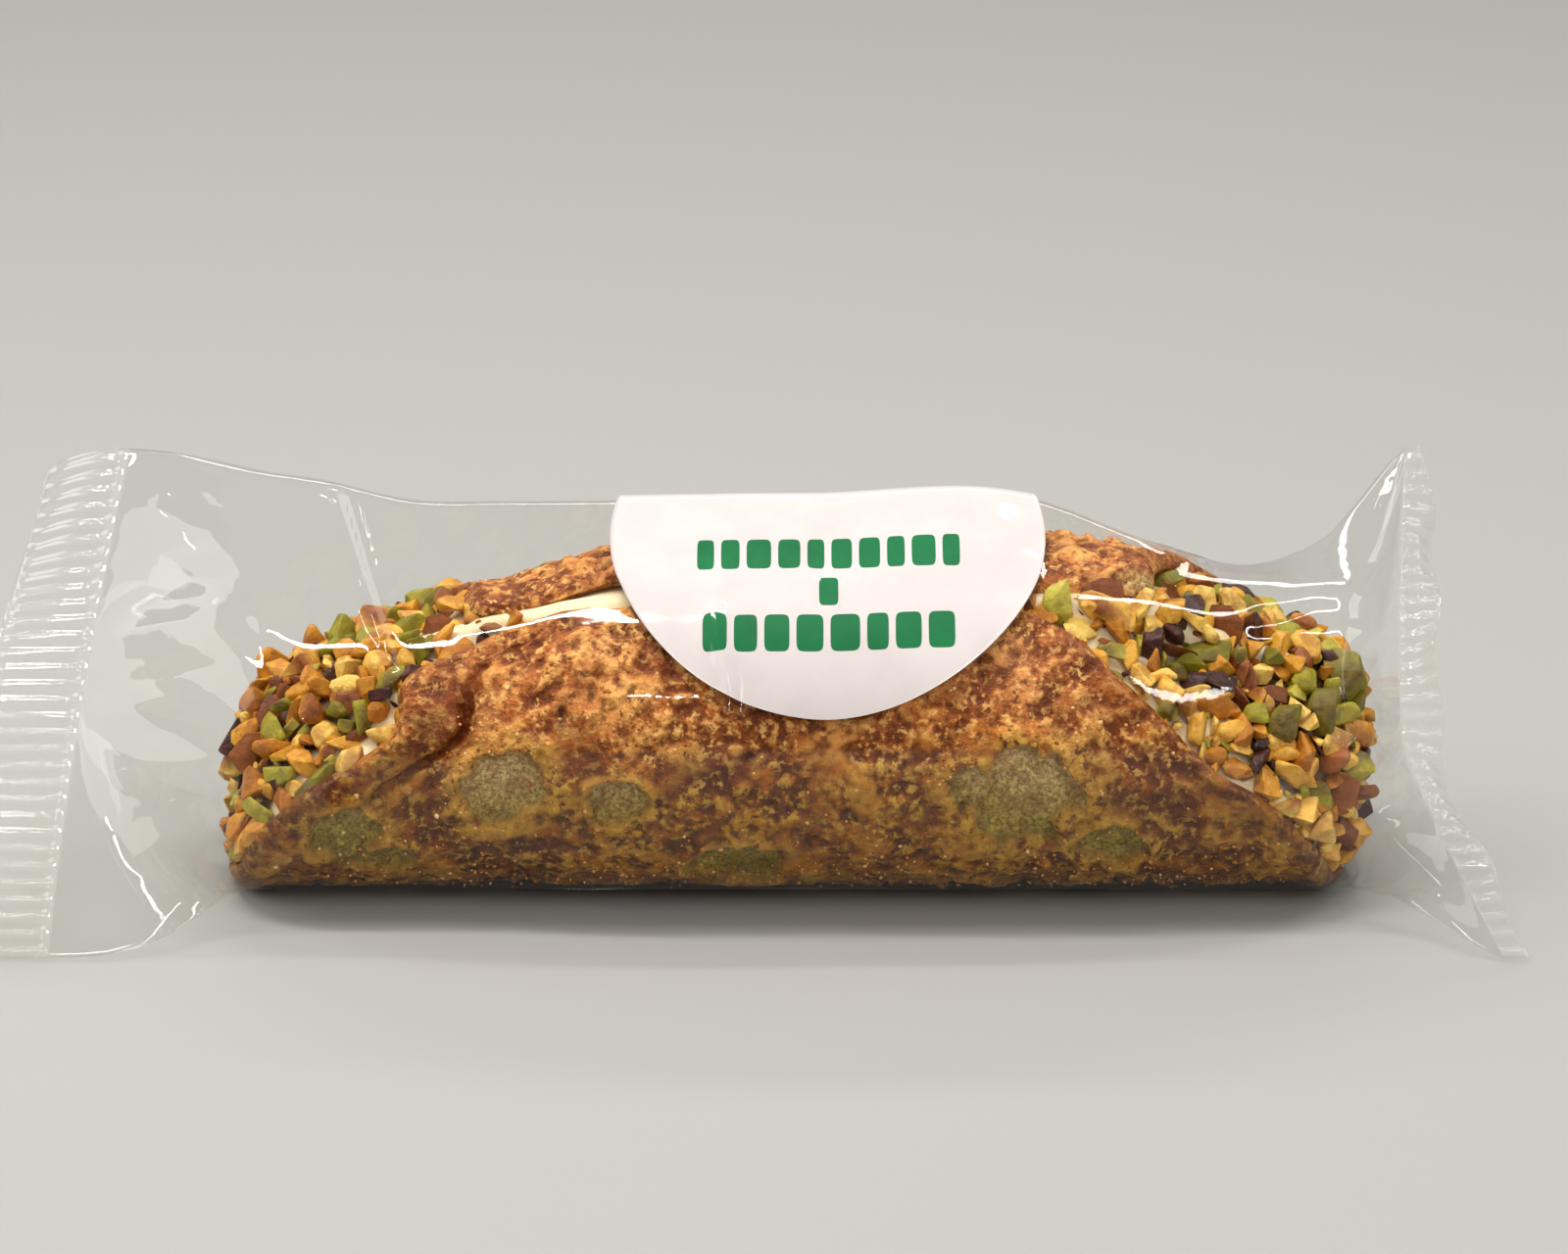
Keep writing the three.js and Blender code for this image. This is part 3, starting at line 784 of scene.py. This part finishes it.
# Pieces that stand out on the faces: x, height over the axis as seen from the front, length,
# breadth, tilt of the length and place in KINDS.
KINDS = ("almond", "pistachio", "nut_skin", "dried_fruit")
KIND_SHARES = (0.64, 0.16, 0.12, 0.08)
CHIP_SCALE = 1.28  # makes up for what the bevels and cuts take off a chip
STANDOUTS = [
    (29.0, 12.9, 5.4, 4.3, 80, 1), (34.5, 15.5, 5.2, 4.2, 10, 2), (42.5, 15.3, 4.8, 3.1, 20, 1),
    (46.3, 15.8, 3.6, 2.9, -60, 0), (50.0, 15.0, 5.6, 4.4, -30, 3), (34.5, 11.8, 8.2, 3.5, -25, 0),
    (39.0, 12.6, 5.2, 4.4, 70, 0), (45.7, 12.6, 4.2, 3.2, 70, 0), (49.1, 11.6, 5.8, 4.4, -60, 0),
    (44.7, 10.7, 4.2, 3.0, -35, 0), (39.8, 7.7, 4.4, 3.2, 80, 3), (45.0, 7.7, 7.3, 4.2, -3, 1),
    (35.1, 7.5, 4.0, 3.0, 0, 1), (53.3, 9.3, 4.2, 3.0, -60, 0), (57.6, 7.7, 4.6, 4.2, -30, 0),
    (58.4, 12.3, 4.0, 3.4, -20, 0), (54.8, 13.5, 3.8, 2.8, 0, 0), (50.0, 6.5, 3.3, 2.4, 70, 1),
    (54.2, 4.5, 4.2, 3.1, -30, 0), (50.8, 3.9, 4.4, 2.0, 85, 2), (53.6, 2.3, 3.9, 3.1, 0, 2),
    (54.9, -1.1, 5.4, 4.6, 60, 1), (46.9, 1.3, 5.8, 3.7, 5, 0), (51.6, 0.2, 3.3, 2.9, 0, 1),
    (47.3, 3.9, 5.2, 3.1, -10, 3), (40.4, 4.3, 3.8, 2.1, 0, 0), (48.2, -1.9, 4.4, 2.7, 20, 0),
    (61.9, 4.8, 6.2, 5.0, -60, 1), (59.3, 0.1, 5.8, 4.4, 80, 1), (47.1, -4.1, 3.8, 2.6, 10, 0),
    (49.7, -3.7, 2.7, 2.5, 0, 0), (54.6, -4.6, 3.6, 2.6, 0, 0), (52.2, -3.4, 2.7, 2.4, 0, 3),
    (41.2, 0.7, 3.2, 2.4, 80, 1),
    (-41.5, 14.6, 4.7, 4.4, 40, 0), (-40.3, 12.0, 5.0, 4.0, 0, 0), (-47.0, 12.4, 2.6, 2.2, 0, 0),
    (-44.3, 12.3, 3.2, 1.4, -20, 2), (-45.3, 10.4, 4.4, 2.7, 0, 1), (-41.1, 9.4, 5.2, 2.0, 35, 0),
    (-51.7, 10.6, 6.2, 4.0, 20, 0), (-54.4, 7.6, 5.0, 2.4, 5, 1), (-49.0, 5.9, 4.2, 3.7, 30, 0),
    (-47.3, 4.2, 5.2, 2.6, 45, 1), (-50.5, 3.4, 3.3, 3.0, 0, 0), (-52.4, 1.5, 3.5, 3.2, 30, 2),
    (-55.9, 0.9, 5.2, 4.6, 60, 0), (-49.0, 0.7, 3.2, 2.6, 30, 0), (-52.7, -0.8, 2.9, 1.9, -20, 1),
    (-51.0, -1.8, 4.2, 1.7, 20, 2), (-56.6, -3.2, 3.2, 3.0, 0, 0), (-54.7, -3.8, 2.7, 2.1, 80, 0),
    (-59.4, -4.5, 3.9, 3.4, 10, 0), (-59.1, -1.5, 2.4, 2.2, 0, 1), (-64.4, -2.1, 4.8, 3.4, 20, 0),
    (-58.4, 5.2, 4.8, 4.6, 30, 0), (-60.8, 3.6, 3.0, 2.4, 0, 2), (-60.4, 0.9, 3.0, 2.2, 0, 1),
]


def face_grid(side):
    """The face as a fine grid: its points, the area each stands for, and out and turn."""
    out, turn = np.meshgrid(np.linspace(0.01, 1.0, 120), np.arange(-180, 180, 1.5))
    p = mouth_point(side, out, turn)
    area = np.linalg.norm(np.cross(np.gradient(p, axis=0), np.gradient(p, axis=1)), axis=-1)
    return p.reshape(-1, 3), area.ravel(), out.ravel(), turn.ravel()


def seen_height(p):
    """Height over the pastry's axis as the camera sees it."""
    return (p[..., 2] - AXIS_HEIGHT) * math.cos(ELEVATION) + p[..., 1] * math.sin(ELEVATION)


def place_nuts(rng):
    """Standing-out pieces first, then random ones from large to small, each kept where it is
    clear of those already down by a share of their sizes. Few lie out past the rims, where the
    cream shows."""
    tries, rim, left_rim, left_top_rim = 40, 0.955, 0.88, 0.76
    faces = {side: face_grid(side) for side in (-1, 1)}
    centres, reach, rows = np.zeros((0, 3)), np.zeros(0), []
    for x, u, length, breadth, tilt, kind in STANDOUTS:
        side = -1 if x < 0 else 1
        p, _, out, turn = faces[side]
        front = (turn > -75) & (turn < 118)
        miss = np.hypot(p[:, 0] - x, seen_height(p) - u) + 9 * ~front
        k = miss.argmin()
        spot = mouth_point(side, out[k], turn[k], 0.12 * breadth)
        spot = spot + np.array([x - p[k, 0], 0, 0]) * 0.5
        centres, reach = np.vstack([centres, spot]), np.append(reach, 0.46 * breadth)
        rows.append((spot, length / 2, breadth / 2, tilt, kind))
    sizes = [rng.uniform(low, high, count)
             for low, high, count in ((2.0, 2.9, 250), (1.3, 2.0, 420), (0.5, 1.3, 760))]
    for size in np.sort(np.concatenate(sizes))[::-1]:
        for _ in range(tries):
            side = -1 if rng.random() < 0.5 else 1
            _, area, out, turn = faces[side]
            k = np.searchsorted(np.cumsum(area), rng.random() * area.sum())
            k = min(k, len(area) - 1)
            edge = rim
            if side < 0 and -5 < turn[k] < 105:
                edge = left_top_rim if turn[k] > 38 else left_rim
            if out[k] > edge and rng.random() < 0.92:
                continue
            spot = mouth_point(side, out[k], turn[k], 0.2 * size - 0.5 * rng.random())
            if (np.linalg.norm(centres - spot, axis=1) < 0.64 * (reach + 0.8 * size)).any():
                continue
            centres, reach = np.vstack([centres, spot]), np.append(reach, 0.8 * size)
            kind = rng.choice(4, p=KIND_SHARES)
            rows.append((spot, size, size * rng.uniform(0.6, 0.9), None, kind))
            break
    return rows


def build_nuts(finishes):
    """Chopped nuts and bits of dried fruit pressed into both faces, one joined mesh a kind."""
    rng = np.random.default_rng(11)
    placed = place_nuts(rng)
    simple, cut = 12, 18
    templates = [chip(rng, int(rng.integers(9, 15)), 0) for _ in range(simple)]
    templates += [chip(rng, int(rng.integers(18, 26)), int(rng.integers(1, 4))) for _ in range(cut)]
    right = np.array([1.0, 0, 0])
    towards = np.cross(right, VIEW_UP)
    for kind, name in enumerate(KINDS):
        centres, lengths, breadths, tilts = (
            list(column) for column in zip(*(row[:4] for row in placed if row[4] == kind)))
        centres, count = np.array(centres), len(centres)
        turns = random_turns(count, rng)
        for i, tilt in enumerate(tilts):
            if tilt is not None:
                t = math.radians(tilt)
                along = math.cos(t) * right + math.sin(t) * VIEW_UP
                turns[i] = np.stack([along, np.cross(towards, along), towards], -1)
        thin = rng.uniform(0.22, 0.4, count) if name == "nut_skin" else rng.uniform(0.62, 0.95, count)
        axes = np.stack([lengths, breadths, breadths * thin], -1) * CHIP_SCALE
        which = rng.integers(0, len(templates), count)
        points, faces, normals, start = [], [], [], 0
        fields = {"natural": [], "tone": [], "skinned": []}
        for t, (shape, tris, facing, natural) in enumerate(templates):
            mine = np.flatnonzero(which == t)
            if not len(mine):
                continue
            moved = np.einsum("nij,npj->npi", turns[mine], shape[None] * axes[mine, None])
            bent = np.einsum("nij,npj->npi", turns[mine], facing[None] / axes[mine, None])
            points.append((moved + centres[mine, None]).reshape(-1, 3))
            normals.append(unit(bent).reshape(-1, 3))
            shift = start + np.arange(len(mine))[:, None, None] * len(shape)
            faces.append((tris[None] + shift).reshape(-1, 3))
            fields["natural"].append(np.tile(natural, len(mine)))
            for key in ("tone", "skinned"):
                fields[key].append(np.repeat(rng.random(len(mine)), len(shape)))
            start += len(mine) * len(shape)
        piece = make_piece(f"{name}_pieces", np.concatenate(points), np.concatenate(faces),
                           finishes[kind], {k: np.concatenate(v) for k, v in fields.items()})
        piece.data.normals_split_custom_set_from_vertices(np.concatenate(normals).astype(np.float32))


# ---- The film -------------------------------------------------------------------------------
def ridge_at(x):
    """y and z of the middle of the ridge's round."""
    knots, *values = np.array(RIDGE).T
    return [curve_through(knots, value, x) for value in values]


def section_at(x):
    """The body's section: a circle round the pastry and a small circle at the ridge, joined by
    straight flanks. half is the angle from the ridge's direction to a flank's normal."""
    radius = shell_radius(x) + FILM_GAP
    centre = radius - 0.2
    ridge_y, ridge_z = ridge_at(x)
    rise = ridge_z - centre
    spacing = np.maximum(np.hypot(ridge_y, rise) - RIDGE_RADIUS, radius - RIDGE_RADIUS + 0.01)
    angle = np.arctan2(rise, -ridge_y)
    half = np.arccos((radius - RIDGE_RADIUS) / spacing)
    flank = np.sqrt(spacing**2 - (radius - RIDGE_RADIUS) ** 2)
    return radius, centre, spacing, angle, half, flank


def section_point(x, s, stand_off=0.0):
    """y and z of the film at x and a distance s from the ridge, to the front if s > 0."""
    radius, centre, spacing, angle, half, flank = section_at(x)
    side = np.where(s < 0, -1.0, 1.0)
    distance = np.abs(s)
    over = RIDGE_RADIUS * half
    on_ridge = distance <= over
    on_flank = ~on_ridge & (distance <= over + flank)
    turned = np.where(on_ridge, distance / RIDGE_RADIUS,
                      np.where(on_flank, half, half + (distance - over - flank) / radius))
    share = held((distance - over) / flank)
    r = mix(RIDGE_RADIUS, radius, share) + stand_off
    reach = spacing * (1 - share)
    a = angle - side * turned
    y = -np.cos(a) * r - np.cos(angle) * reach
    z = centre + np.sin(a) * r + np.sin(angle) * reach
    return y, z


def side_length(x, front):
    """Film from the ridge to the lower fold, round the front or round the back."""
    radius, _, _, angle, half, flank = section_at(x)
    down = np.where(front, angle - FOLD_ANGLE, 2 * np.pi - (angle - FOLD_ANGLE))
    return RIDGE_RADIUS * half + flank + radius * (down - half)


def strip_point(up, off):
    """y and z on the flat end seal, up 0..1 from its foot, off its middle by a distance."""
    y = SEAL_FOOT[0] + up * FILM_WIDTH * math.cos(SEAL_TILT) - off * math.sin(SEAL_TILT)
    z = SEAL_FOOT[1] + up * FILM_WIDTH * math.sin(SEAL_TILT) + off * math.cos(SEAL_TILT)
    return y, z


def strip_skin(up, front):
    """How far a flat seal's skin lies off its middle: nothing at the folds."""
    return np.where((up == 0) | (up == 1), 0.0, np.where(front, HALF_DOUBLED, -HALF_DOUBLED))


def seal_line(side, up):
    """x of the inner edge of an end seal."""
    if side < 0:
        return -86.3 + 6.4 * up**1.4
    below, above = held((0.42 - up) / 0.42), held((up - 0.42) / 0.58)
    return 69 + 10.5 * below**1.2 + 2 * above**2


def opening(side, along, up):
    """How far the film has opened from flat (0) to round (1) at along 0..1 from the seal. It
    eases into the round body without a kink."""
    along = 1 - (1 - along) ** 1.4
    if side < 0:
        return along ** mix(3.4, 1.1, smooth(up * 2))
    return along ** mix(1.3, 0.6, smooth(up * 1.2))


# Creases of the film: x and s along each, half width, and height (inwards below nothing).
CREASES = [
    ([(-40, 20.8), (-36, 19.4), (-31.7, 17.9), (-24.9, 16.1), (-16, 14.9), (2, 13.4)], 2.6, 0.31),
    ([(-2, 16), (10, 13.8), (18, 11), (28, 9.9)], 2.6, 0.27),
    ([(38, 3.8), (42, 2.0), (48, 0.5)], 2.4, 0.3),
    ([(-55.5, 2), (-51, 15), (-46.7, 26.5)], 1.2, -0.8),
    ([(-53.2, 2), (-50.0, 14), (-46.3, 26)], 0.8, 0.45),
    ([(-10.7, 18), (-9.1, 28.5), (-9.4, 37)], 1.3, 0.65),
    ([(57, 34), (59.8, 48), (65.5, 60)], 1.3, -0.8),
    ([(-66, 24), (-58, 34), (-52, 46)], 2.2, -0.6),
    ([(50, 14), (58, 17), (66, 24)], 2.0, -0.6),
    ([(48, 30), (56, 36), (64, 38)], 2.0, 0.5),
    ([(-60, -12), (-48, -30), (-30, -42)], 2.4, 0.5),
    ([(60, -14), (46, -28), (20, -34), (-10, -30)], 2.4, 0.5),
    ([(-20, -14), (10, -20), (40, -17)], 2.2, 0.4),
]


def crease_height(x, s):
    """Sum over the creases of height times a round hump across and a fade at both ends."""
    height = np.zeros_like(x)
    for line, width, depth in CREASES:
        line = np.array(line, float)
        step = np.hypot(*np.diff(line, axis=0).T)
        total = step.sum()
        best, along = np.full_like(x, 1e9), np.zeros_like(x)
        for k, (first, second) in enumerate(zip(line[:-1], line[1:])):
            way = (second - first) / step[k]
            f = np.clip((x - first[0]) * way[0] + (s - first[1]) * way[1], 0, step[k])
            away = np.hypot(x - first[0] - f * way[0], s - first[1] - f * way[1])
            along = np.where(away < best, step[:k].sum() + f, along)
            best = np.minimum(away, best)
        ends = smooth(along / 3.0 + 0.25) * smooth((total - along) / 3.0 + 0.25)
        height = height + depth * ends * bump(best / width)
    return height


def film_point(x, s, stand_off=0.0):
    """A point of the round part of the film, creases included."""
    return section_point(x, s, stand_off + crease_height(x, s))


def film_surface(rows_neck, rows_body, columns):
    """The tube of film between the seals, as rows of points from the left seal to the right one.

    Each point = flat seal point blended to the round body by how far the film has opened, plus a
    crumple of creased facets that is strongest half way, plus faint waves over the body. The film
    under the body lies flat, lowest along the seam."""
    turn = np.arange(columns) / columns
    front = turn <= 0.5
    out = np.where(front, 1.0, -1.0)
    up = np.where(front, 2 * turn, 2 * (1 - turn))
    flat_y, flat_z = strip_point(up, strip_skin(up, front))
    normal = np.stack([-math.sin(SEAL_TILT) * out, math.cos(SEAL_TILT) * out], -1)
    neck = np.linspace(0, 1, rows_neck, endpoint=False)
    stations = [(-1, a) for a in neck]
    stations += [(0, x) for x in np.linspace(BODY_LEFT, BODY_RIGHT, rows_body)]
    stations += [(1, a) for a in neck[::-1]]
    rows = []
    for side, value in stations:
        along = np.full(columns, value)
        x = mix(seal_line(side, up), BODY_LEFT if side < 0 else BODY_RIGHT, value) if side else along
        opened = opening(side, along, up) if side else np.ones(columns)
        s = (1 - up) * side_length(x, front) * out
        y, z = film_point(x, s)
        radial = unit(np.stack([y, z - BODY_MIDDLE], -1), 1)
        outward = mix(normal, radial, opened[..., None])
        sheet = s + 70 * out  # far apart in front and behind, so that their folds differ
        crumple = 2.6 * facets(x * 0.28, sheet, 9.0, 71) + 1.1 * facets(x * 0.4, sheet, 3.8, 72)
        height = 0.8 * crumple * (np.sin(np.pi * held(opened)) * np.sin(np.pi * up))
        full = held(opened * 1.5)
        height = height + 0.05 * noise(np.stack([x * 0.3, s, out * 9], -1), 5, 73, 2) * full
        height = height + 0.10 * facets(x * 0.55, sheet, 11.0, 75) * full
        y = mix(flat_y, y, opened) + outward[:, 0] * height
        z = mix(flat_z, z, opened) + outward[:, 1] * height
        under = (z < 12) & (np.abs(y) < SEAM_WIDTH / 2) & (opened > 0.8)
        z = np.where(under, SEAM_BOTTOM, np.maximum(z, FILM_BOTTOM))
        rows.append(np.stack([x, y, z], -1))
    return np.array(rows)


def seal_surface(side, rows, columns):
    """A crimped end seal as a closed strip: bars that run along x, ends curling as they like.

    Off the flat = half the film's thickness + bars + the width turned by the curl + a wave."""
    up_front = np.linspace(0, 1, columns)
    up = np.concatenate([up_front, up_front[-2:0:-1]])
    a, u = np.meshgrid(np.linspace(0, 1, rows), up, indexing="ij")
    if side < 0:
        width, curl = 11.4, -0.5 * smooth((u - 0.45) / 0.55)
    else:
        width = 3.4 + 1.6 * smooth(u / 0.3) - 3 * smooth((u - 0.85) / 0.15)
        curl = 0.75 * np.cos((u - 0.07) * 4 * np.pi)
    inside = smooth((a - 0.04) / 0.10) * smooth((0.94 - a) / 0.08)
    bars = np.clip(1.6 * np.sin(u * CRIMPS * 2 * np.pi), -1, 1) * CRIMP_HEIGHT * inside
    turned = curl * a * 0.9
    swing = width * a
    wave = 0.35 * noise(np.stack([a * 2, u * 9, 0 * u], -1), 1, 81 + side) * smooth(u * 5) * smooth(a * 3)
    skin = strip_skin(u, np.arange(len(up)) < columns)
    y, z = strip_point(u, skin + bars + swing * np.sin(turned) * smooth(u * 5) + wave)
    x = seal_line(side, u) + side * swing * np.cos(turned)
    return np.stack([x, y, np.maximum(z, SEAM_BOTTOM)], -1)


def build_film(material, crimp_material):
    """The tube and the two end seals; a cap closes each seal's outer end."""
    points = film_surface(rows_neck=56, rows_body=200, columns=300)
    film = make_piece("film_tube", points, sheet_quads(*points.shape[:2], loop=True)[:, ::-1],
                      material)
    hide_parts("wrapper")
    for side, name in ((-1, "crimped_seal_left"), (1, "crimped_seal_right")):
        strip = seal_surface(side, rows=26, columns=10 * CRIMPS + 1)
        rows, columns = strip.shape[:2]
        i = np.arange(1, columns // 2 - 1)
        cap = np.stack([i, columns - i, columns - i - 1, i + 1], -1) + (rows - 1) * columns
        faces = np.concatenate([sheet_quads(rows, columns, loop=True), cap])
        seal = make_piece(name, strip, faces[:, ::-1] if side < 0 else faces, crimp_material)
        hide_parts("wrapper")


# ---- The sticker ----------------------------------------------------------------------------
def sticker_point(across, down, stand_off):
    """A point of the round sticker: across along x and down towards the front, from its middle."""
    x = LABEL_X + across
    y, z = film_point(x, LABEL_FORWARD + down, stand_off)
    return np.stack([x, y, z], -1)


def build_sticker(paper, ink):
    """A thin round sheet bent over the ridge, and flat blocks of ink where it is printed."""
    rows, columns = 90, 90
    lat = np.linspace(-1, 1, rows)
    half = np.sqrt(held(1 - np.square(np.sin(lat * np.pi / 2))))
    down = np.sin(lat * np.pi / 2) * LABEL_RADIUS
    across = half[:, None] * LABEL_RADIUS * np.linspace(-1, 1, columns)[None, :]
    down = np.broadcast_to(down[:, None], across.shape)
    points = np.stack([sticker_point(across, down, height) for height in STICKER_HEIGHTS])
    under = rows * columns
    face = sheet_quads(rows, columns)
    r = np.arange(rows - 1) * columns
    first = np.stack([r, r + columns, r + columns + under, r + under], -1)
    faces = [face[:, ::-1], face + under, first, first[:, ::-1] + columns - 1]
    sticker = make_piece("sticker", points, np.concatenate(faces), paper)
    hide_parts("label")
    build_print(ink)


def rounded_block(cx, cy, wide, high, n):
    """A flat block with round corners on the sticker: a square grid pulled to a squircle."""
    p, q = np.meshgrid(np.linspace(-1, 1, n), np.linspace(-1, 1, n))
    big = np.maximum(np.abs(p), np.abs(q))
    norm = (np.abs(p) ** 6 + np.abs(q) ** 6) ** (1 / 6)
    pull = np.where(norm > 0, big / np.maximum(norm, 1e-9), 1)
    return cx + p * pull * wide / 2, cy + q * pull * high / 2


def build_print(ink):
    """Three rows of plain green blocks, each a thin slab that lies on the paper."""
    rng = np.random.default_rng(3)
    n, gap = 9, 0.8
    points = []
    for centre, high, length, count in ((3.6, 5.0, 30.2, 10), (9.6, 3.9, 2.2, 1), (15.1, 4.6, 28.8, 8)):
        widths = rng.uniform(0.75, 1.25, count)
        widths *= (length - gap * (count - 1)) / widths.sum()
        start = -length / 2 + 0.1
        for w in widths:
            across, down = rounded_block(start + w / 2, centre, w, high, n)
            points.append([sticker_point(across, down, height) for height in INK_HEIGHTS])
            start += w + gap
    face = sheet_quads(n, n)
    border = np.concatenate([np.arange(n), n * np.arange(1, n) + n - 1,
                             n * (n - 1) + np.arange(n - 2, -1, -1), n * np.arange(n - 2, 0, -1)])
    after = np.roll(border, -1)
    side = np.stack([border, after, after + n * n, border + n * n], -1)
    one = np.concatenate([face[:, ::-1], face + n * n, side])
    shift = np.arange(len(points))[:, None, None] * 2 * n * n
    make_piece("sticker_print", np.array(points), one[None] + shift, ink, sharp=30)


# ---- Table, light and camera ----------------------------------------------------------------
def build_stage():
    """A plain pale floor that runs up behind in one sweep."""
    finish = Finish("pale_floor")
    rows, rise_from, sweep = 60, 0.7, 0.9
    depth = np.linspace(-0.9, 1.6, rows)
    share = held(1 - np.square((depth - rise_from) / sweep))
    height = np.where(depth > rise_from, sweep * (1 - np.sqrt(share)), 0)
    x, y = np.meshgrid(np.array([-2.2, 2.2]), depth)
    z = np.repeat(height[:, None], 2, 1)
    mesh = bpy.data.meshes.new("floor")
    mesh.from_pydata(np.stack([x, y, z], -1).reshape(-1, 3).tolist(), [], sheet_quads(rows, 2).tolist())
    mesh.materials.append(finish.surface(Base_Color=shade((163, 163, 160)), Roughness=0.75))
    floor = add_object("floor", mesh)


def add_light(name, place, size, power, aim=(0, 0, 0.02), roll=0.0, mirrored=True):
    """A rectangular lamp turned to its aim and rolled about that line; some leave no mirror image."""
    data = bpy.data.lights.new(name, "AREA")
    data.shape = "RECTANGLE"
    data.size, data.size_y = size
    data.energy = power
    data.color = LAMP_COLOUR
    lamp = add_object(name, data)
    lamp.location = place
    facing = (Vector(aim) - Vector(place)).to_track_quat("-Z", "Y")
    lamp.rotation_euler = (facing @ Quaternion((0, 0, 1), math.radians(roll))).to_euler()
    lamp.visible_glossy = mirrored
    return lamp


def build_lights():
    """A soft key and fill that leave no mirror image, narrow strips for the streaks along the
    film, side cards that show its folds, and a plain world that is brightest overhead."""
    add_light("key_above", (0.0, -0.14, 0.74), (0.6, 0.2), 2.0, mirrored=False)
    add_light("fill_front", (-0.1, -0.75, 0.72), (0.9, 0.5), 1.4, mirrored=False)
    add_light("strip_above", (0.32, 0.18, 0.68), (0.44, 0.04), 1.7, aim=(0.32, 0, 0.02))
    add_light("strip_left", (-0.17, -0.06, 0.62), (0.30, 0.035), 1.8, aim=(-0.17, -0.06, 0), roll=-8)
    add_light("strip_behind", (0.0, 0.55, 0.46), (0.6, 0.06), 1.2)
    add_light("card_left", (-0.56, 0.0, 0.44), (0.26, 0.85), 2.5, roll=90)
    card = add_light("card_right", (0.56, 0.0, 0.44), (0.16, 0.85), 1.5, roll=90)
    card.visible_diffuse = False
    add_light("low_right", (0.52, -0.25, 0.14), (0.04, 0.30), 0.35, roll=90)
    add_light("front_right", (0.35, -0.68, 0.50), (0.03, 0.42), 1.2)
    add_light("soft_front", (-0.035, -0.70, 0.50), (0.03, 0.015), 0.12)
    sky = Finish("studio", "worlds", "Background")
    facing = sky.node("ShaderNodeVectorMath", operation="DOT_PRODUCT")
    sky.fill(facing.inputs, (sky.node("ShaderNodeTexCoord").outputs["Generated"], (0, -0.6, 0.8)))
    world = sky.surface(Color=sky.ramp(facing.outputs["Value"], [(0.0, 0.02), (1.0, 0.36)]))
    bpy.context.scene.world = world
    world.cycles_visibility.glossy = False


def build_camera():
    """Places the camera so that the axis falls on its pixel at the stated scale."""
    forward = np.array([0, math.cos(ELEVATION), -math.sin(ELEVATION)])
    axis = np.array([0, 0, AXIS_HEIGHT]) + AXIS
    right = (FRAME_PIXELS[0] / 2 - AXIS_PIXEL[0]) / SCALE
    rise = (AXIS_PIXEL[1] - FRAME_PIXELS[1] / 2) / SCALE
    target = axis + right * np.array([1, 0, 0]) + rise * VIEW_UP
    data = bpy.data.cameras.new("camera")
    data.sensor_fit = "HORIZONTAL"
    data.sensor_width = SENSOR
    data.lens = SENSOR * SCALE * DISTANCE / FRAME_PIXELS[0]
    data.clip_start, data.clip_end = 0.01, 20
    camera = add_object("camera", data)
    camera.location = (target - DISTANCE * forward) * MM
    camera.rotation_euler = (math.pi / 2 - ELEVATION, 0, 0)
    bpy.context.scene.camera = camera


# ---- Everything -----------------------------------------------------------------------------
build_camera()
build_lights()
build_stage()
build_shell(pastry_finish())
build_crumbs(crumb_finish())
build_cream(cream_finish())
build_nuts([
    nut_finish("almond", [(0.2, (180, 108, 22)), (0.45, (228, 164, 48)), (0.8, (252, 218, 116))],
               [(0.3, (104, 50, 18)), (0.7, (168, 96, 36))], 0.45),
    nut_finish("pistachio", [(0.2, (96, 88, 14)), (0.45, (150, 142, 24)), (0.8, (204, 186, 70))],
               [(0.3, (80, 62, 26)), (0.7, (128, 106, 38))], 0.75),
    nut_finish("nut_skin", [(0.2, (110, 54, 22)), (0.8, (170, 100, 50))],
               [(0.3, (84, 38, 16)), (0.7, (140, 76, 36))], 0.9),
    fruit_finish()])
build_film(film_finish("clear_film"), film_finish("crimped_film", 0.06))
build_sticker(paper_finish("sticker_paper", (210, 202, 200), (202, 193, 191)),
              paper_finish("green_ink", (6, 112, 62), (4, 96, 52)))
bpy.context.scene.cycles.transparent_max_bounces = 32
bpy.context.scene.view_settings.view_transform = "Standard"
